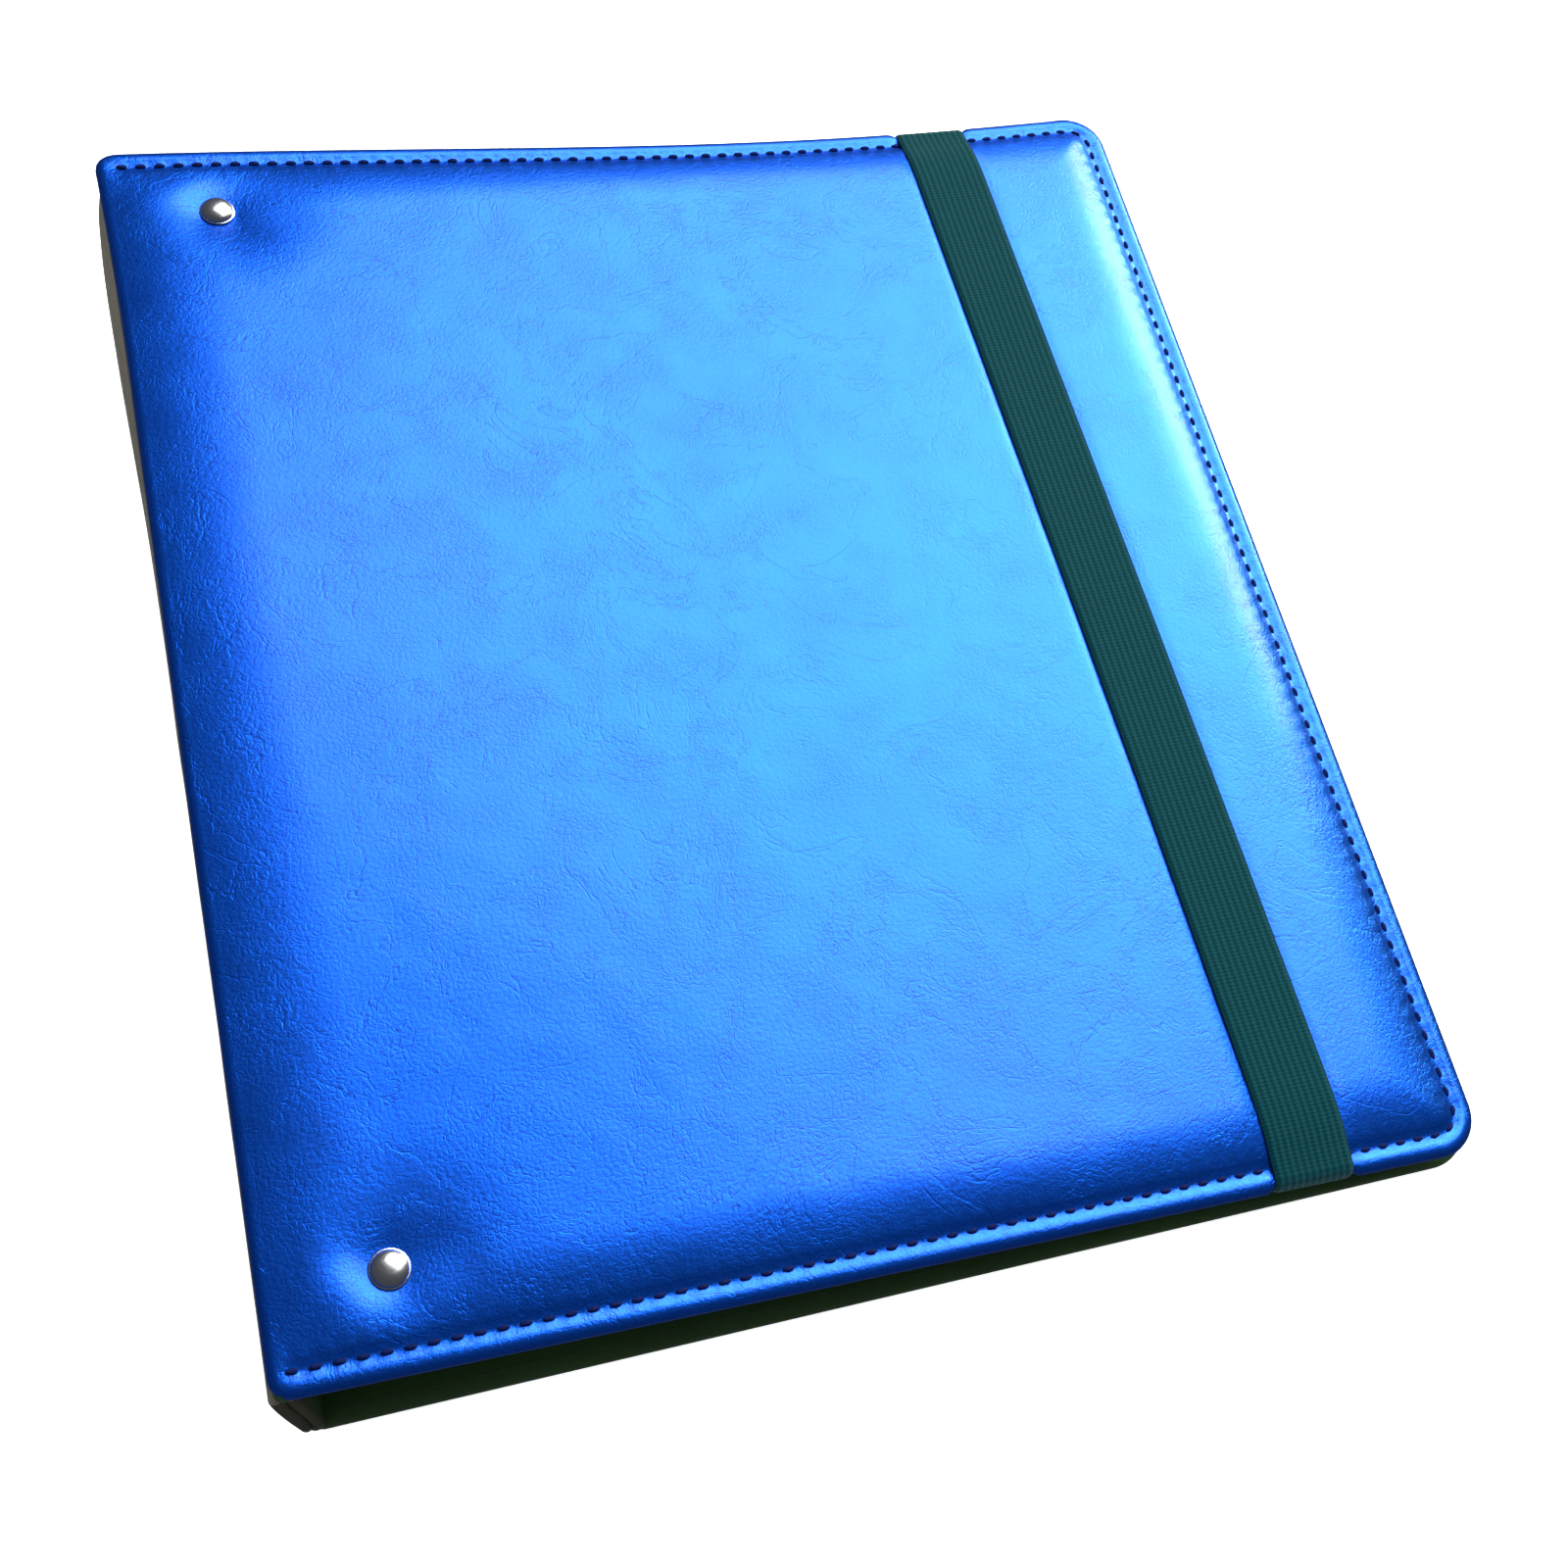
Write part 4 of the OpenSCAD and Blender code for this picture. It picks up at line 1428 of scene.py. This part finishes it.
@dataclass
class CardPage:
    """A nine-pocket page: its black centre sheet is the CAD node, and its pocket films are made here.

    Attributes:
        number: Which page, from the upper cover.
        puff: How far the middle of a pocket's film stands off its edges.
        film: Thickness of the film.
    """

    number: int
    puff: float = 0.112 * MM
    film: float = 0.05 * MM

    def pockets(self) -> bpy.types.Object:
        """Makes the pocket films, each a shallow pillow with a thumb cut at its mouth.

        Returns:
            The new piece.
        """
        source = frame["nodes"][f"page_pockets_{self.number}"]
        co = np.array([v.co for v in source.data.vertices], float)
        sheet = np.array([v.co for v in frame["nodes"][f"page_{self.number}"].data.vertices], float)
        centre = sheet.mean(0)
        _, _, axes = np.linalg.svd(sheet - centre, full_matrices=False)
        normal = axes[2] * np.sign(axes[2][2])
        fore = np.cross([0.0, 1.0, 0.0], normal)
        own = np.stack([(co - centre) @ fore, co[:, 1], (co - centre) @ normal], axis=1)
        xs = self.spans(own[:, 0])
        ys = self.spans(own[:, 1])
        half = np.abs((sheet - centre) @ normal).max()
        points, faces = [], []
        for x0, x1 in xs:
            for y0, y1 in ys:
                for up in (1, -1):
                    self.pillow(points, faces, (x0, x1, y0, y1), up, half, (centre, fore, normal))
        piece = make_piece(f"page_{self.number}_pockets", points, faces, [POCKET_CLEAR])
        return recalculated(piece)

    @staticmethod
    def spans(values: np.ndarray) -> list[tuple[float, float]]:
        """The stretches that a row of box corners covers, lowest first.

        Args:
            values: The corners' places.

        Returns:
            The start and the end of each stretch.
        """
        marks = np.unique(np.round(values, 5))
        marks = [m for i, m in enumerate(marks) if i == 0 or m - marks[i - 1] > 0.5 * MM]
        return [(marks[i], marks[i + 1]) for i in range(0, len(marks) - 1, 2)]

    def pillow(self, points: list, faces: list, span: tuple, up: int, half: float, axes: tuple) -> None:
        """Adds one pocket's film to the lists of points and faces.

        Args:
            points: The points so far.
            faces: The faces so far.
            span: The pocket's x and y stretches, in the page's own frame.
            up: 1 for the page's upper face, -1 for its lower one.
            half: Half the thickness of the sheet.
            axes: The page's middle, its direction to the fore edge and its normal.
        """
        x0, x1, y0, y1 = span
        centre, fore, normal = axes
        nx, ny = 15, 17
        gx, gy = np.meshgrid(np.linspace(x0, x1, nx), np.linspace(y0, y1, ny))
        u, v = (gx - x0) / (x1 - x0), (gy - y0) / (y1 - y0)
        cut = bell(u - 0.5, 0.13) * smooth((v - 0.80) / 0.2) * 0.11
        gy = gy - cut * (y1 - y0)
        swell = (1 - (2 * u - 1) ** 6) * (1 - (2 * v - 1) ** 6)
        base = half + 0.01 * MM
        ripple = 0.02 * MM * soft_noise(gx, gy, 19 * MM, 30 + self.number)
        lift = base + self.film + self.puff * swell + ripple
        start = len(points)
        for z in (lift, np.full_like(lift, base)):
            flat = centre + gx.reshape(-1, 1) * fore + up * z.reshape(-1, 1) * normal
            flat[:, 1] = gy.ravel()
            points.extend(flat)
        sheet, border = grid_faces(ny, nx)
        top, loop = np.array(sheet) + start, border + start
        faces.extend(top.tolist())
        faces.extend((top[:, ::-1] + nx * ny).tolist())
        ahead = np.roll(loop, -1)
        faces.extend(np.stack([loop, loop + nx * ny, ahead + nx * ny, ahead], axis=-1).tolist())


# ---------------------------------------------------------------- dressing, stage and camera


CAD_FINISHES = {
    "cover_leather": COVER_BLUE, "spine_leather": LINING_DARK, "foam": FOAM_CREAM, "board": BOARD_GREY,
    "lining": LINING_DARK, "thread": THREAD_NAVY, "ring_metal": RING_NICKEL, "plain_steel": BLADE_ZINC,
    "strap_web": STRAP_TEAL, "page_sheet": PAGE_BLACK, "pocket_film": POCKET_CLEAR,
}


def dress_frame() -> None:
    """Gives every CAD node the finish of its material slot."""
    for part in frame["record"]["subparts"]:
        mesh = frame["nodes"][part["node"]].data
        mesh.materials.clear()
        mesh.materials.append(CAD_FINISHES[part["material_slot"]])


def build_stage() -> None:
    """Makes the pale floor and wall, the soft lights and the sky."""
    pale = bpy.data.materials.new("floor_pale")
    pale.use_nodes = True
    paint = pale.node_tree.nodes["Principled BSDF"]
    paint.inputs["Base Color"].default_value = linear("F4F4F4")
    paint.inputs["Roughness"].default_value = 0.9
    paint.inputs["Emission Color"].default_value = linear("FFFFFF")
    paint.inputs["Emission Strength"].default_value = 0.8
    sides, radius, wall_h = 48, 6.0, 9.0
    turns = np.linspace(0, 2 * math.pi, sides, endpoint=False)
    rim = np.stack([radius * np.cos(turns), radius * np.sin(turns), np.full(sides, -0.2 * MM)], axis=-1)
    floor = make_piece("floor", rim, [list(range(sides))], [pale])
    low = np.arange(sides)
    ahead = np.roll(low, -1)
    panels = np.stack([low, ahead, ahead + sides, low + sides], axis=-1)[:, ::-1]
    wall = make_piece("wall", np.concatenate([rim, rim + (0.0, 0.0, wall_h)]), panels.tolist(), [pale])
    wall.visible_diffuse = False
    for piece in (floor, wall):
        piece.visible_glossy = False
    world = bpy.data.worlds.new("studio")
    world.use_nodes = True
    sky = world.node_tree.nodes["Background"]
    sky.inputs["Color"].default_value = linear("E4ECF7")
    sky.inputs["Strength"].default_value = 0.07
    bpy.context.scene.world = world
    # a broad soft gloss on the covers, a low warm glint along the fore edge and an even fill from above
    add_light("softbox", (0.90, 0.86, 1.40), (0.0, 0.0, 0.03), width=1.55, height=1.35, power=43,
              colour="FFFFFF")
    add_light("window_low", (1.14, 0.72, 0.54), (0.12, 0.07, 0.05), width=0.6, height=0.26, power=17,
              colour="FFE7A0")
    add_light("ceiling", (-0.2, 0.1, 2.2), (0.0, 0.0, 0.0), width=2.4, height=2.4, power=40,
              colour="FFFFFF", glossy=False)


def add_light(name: str, at: Sequence[float], towards: Sequence[float], width: float, height: float,
              power: float, colour: str, glossy: bool = True) -> None:
    """Adds a soft rectangular light.

    Args:
        name: Its name.
        at: Where it stands.
        towards: What it faces.
        width: Its width.
        height: Its height.
        power: Watts.
        colour: sRGB hex.
        glossy: False where surfaces don't mirror it.
    """
    lamp = bpy.data.lights.new(name, "AREA")
    lamp.shape = "RECTANGLE"
    lamp.size, lamp.size_y, lamp.energy = width, height, power
    lamp.color = linear(colour)[:3]
    light = bpy.data.objects.new(name, lamp)
    light.location = at
    light.visible_glossy = glossy
    light.rotation_euler = (Vector(towards) - Vector(at)).to_track_quat("-Z", "Y").to_euler()
    bpy.context.scene.collection.objects.link(light)


@dataclass(frozen=True)
class Viewpoint:
    """The camera, in the upper cover's frame with its zero at the cover's spine and tail corner.

    Attributes:
        place: Where it stands.
        forward: Where it looks.
        up: Which way is up in its picture.
        lens_mm: Its focal length.
        sensor_mm: Width of its sensor.
    """

    place: tuple = (-1.689 * MM, -65.649 * MM, 415.42 * MM)
    forward: tuple = (0.28397, 0.38181, -0.87953)
    up: tuple = (0.12835, 0.89390, 0.42949)
    lens_mm: float = 46.5
    sensor_mm: float = 36.0

    def build(self, cover: PaddedCover) -> None:
        """Makes the camera and gives it to the scene.

        Args:
            cover: The upper cover.
        """
        plane = cover.plane
        axes = np.array([list(plane.fore), [0, 1, 0], list(plane.out)])
        x, y, z = self.place
        spot = plane.at(x - cover.rim_z, y - cover.half_h, z + cover.rim_z)[0]
        ahead, up = (Vector(np.array(v) @ axes).normalized() for v in (self.forward, self.up))
        right = ahead.cross(up).normalized()
        up = right.cross(ahead)
        turn = Matrix((right, up, -ahead)).transposed().to_4x4()
        data = bpy.data.cameras.new("camera")
        data.lens, data.sensor_width = self.lens_mm, self.sensor_mm
        camera = bpy.data.objects.new("camera", data)
        camera.matrix_world = Matrix.Translation(Vector(spot)) @ turn
        bpy.context.scene.collection.objects.link(camera)
        bpy.context.scene.camera = camera


def finish_piece(piece: bpy.types.Object, body: str, slot: str, *nodes: str) -> bpy.types.Object:
    """Gives a piece its body and hides the CAD nodes that it stands for.

    Args:
        piece: The finished piece.
        body: The CAD body that it moves with.
        slot: The record's material slot; not used.
        nodes: The CAD nodes that it stands for.

    Returns:
        The piece.
    """
    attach(piece, body)
    if nodes:
        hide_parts(*nodes)
    LOG.info("%s: %d faces, rides on %s", piece.name, len(piece.data.polygons), body)
    return piece


def main() -> None:
    """Builds the binder's looks in order."""
    logging.basicConfig(level=logging.INFO, format="%(name)s: %(message)s")
    bpy.context.scene.view_settings.view_transform = "Standard"
    dress_frame()
    upper, lower = PaddedCover(Side.UPPER), PaddedCover(Side.LOWER, bow_in=0.0, bow_down=0.0)
    Viewpoint().build(upper)
    build_stage()
    for cover in (upper, lower):
        side = cover.side.value
        body = f"{side}_cover"
        for piece, node in cover.layers():
            finish_piece(piece, body, node, f"{side}_{node}")
        finish_piece(cover.stitches(), body, "thread", f"{side}_stitching")
        leather = cover.surface()
        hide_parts(f"{side}_skin")
        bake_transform(leather)
        LOG.info("%s: %d faces, from %s to the spine", leather.name, len(leather.data.polygons), body)
    spine = Spine()
    # both spine panels get the dark olive painted shade on their ends
    outer = spine.panel("spine_leather_outer", spine.out_x, spine.mid_x - 0.15 * MM, spine.bulge,
                        [SPINE_TAUPE, SPINE_TAUPE, SPINE_END_PAINTED_SHADE])
    finish_piece(outer, "spine", "spine_leather", "spine_skin", "spine_foam")
    inner = spine.panel("spine_leather_inner", spine.mid_x + 0.15 * MM, spine.in_x, 0.0,
                        [SPINE_TAUPE, LINING_DARK, SPINE_END_PAINTED_SHADE])
    finish_piece(inner, "spine", "lining", "spine_lining", "spine_board")
    for side in ("upper", "lower"):
        roll = hinge_roll(f"{side}_hinge_roll", f"{side}_hinge_fold", spine.head_gap)
        finish_piece(roll, "spine", "spine_leather", f"{side}_hinge_fold")
    strap = Strap(upper)
    for name, end in (("head", 1), ("tail", -1)):
        half = strap.half(f"strap_{name}_half", end)
        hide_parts(f"{name}_strap_end")
        start = UPPER.at(strap.blend_x, end * strap.held_y, 0.0)[0]
        stop = UPPER.at(strap.blend_x, end * strap.free_y, 0.0)[0]
        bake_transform(half)
    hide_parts("elastic_strap")
    for end in ("head", "tail"):
        rivet = rivet_head(f"{end}_rivet_domed", f"{end}_rivet", upper)
        finish_piece(rivet, "upper_cover", "ring_metal", f"{end}_rivet")
    for number in range(1, 7):
        page = CardPage(number)
        body = "upper_cover" if number <= 3 else "turned_pages"
        finish_piece(page.pockets(), body, "pocket_film", f"page_pockets_{number}")


if __name__ == "__main__":
    main()
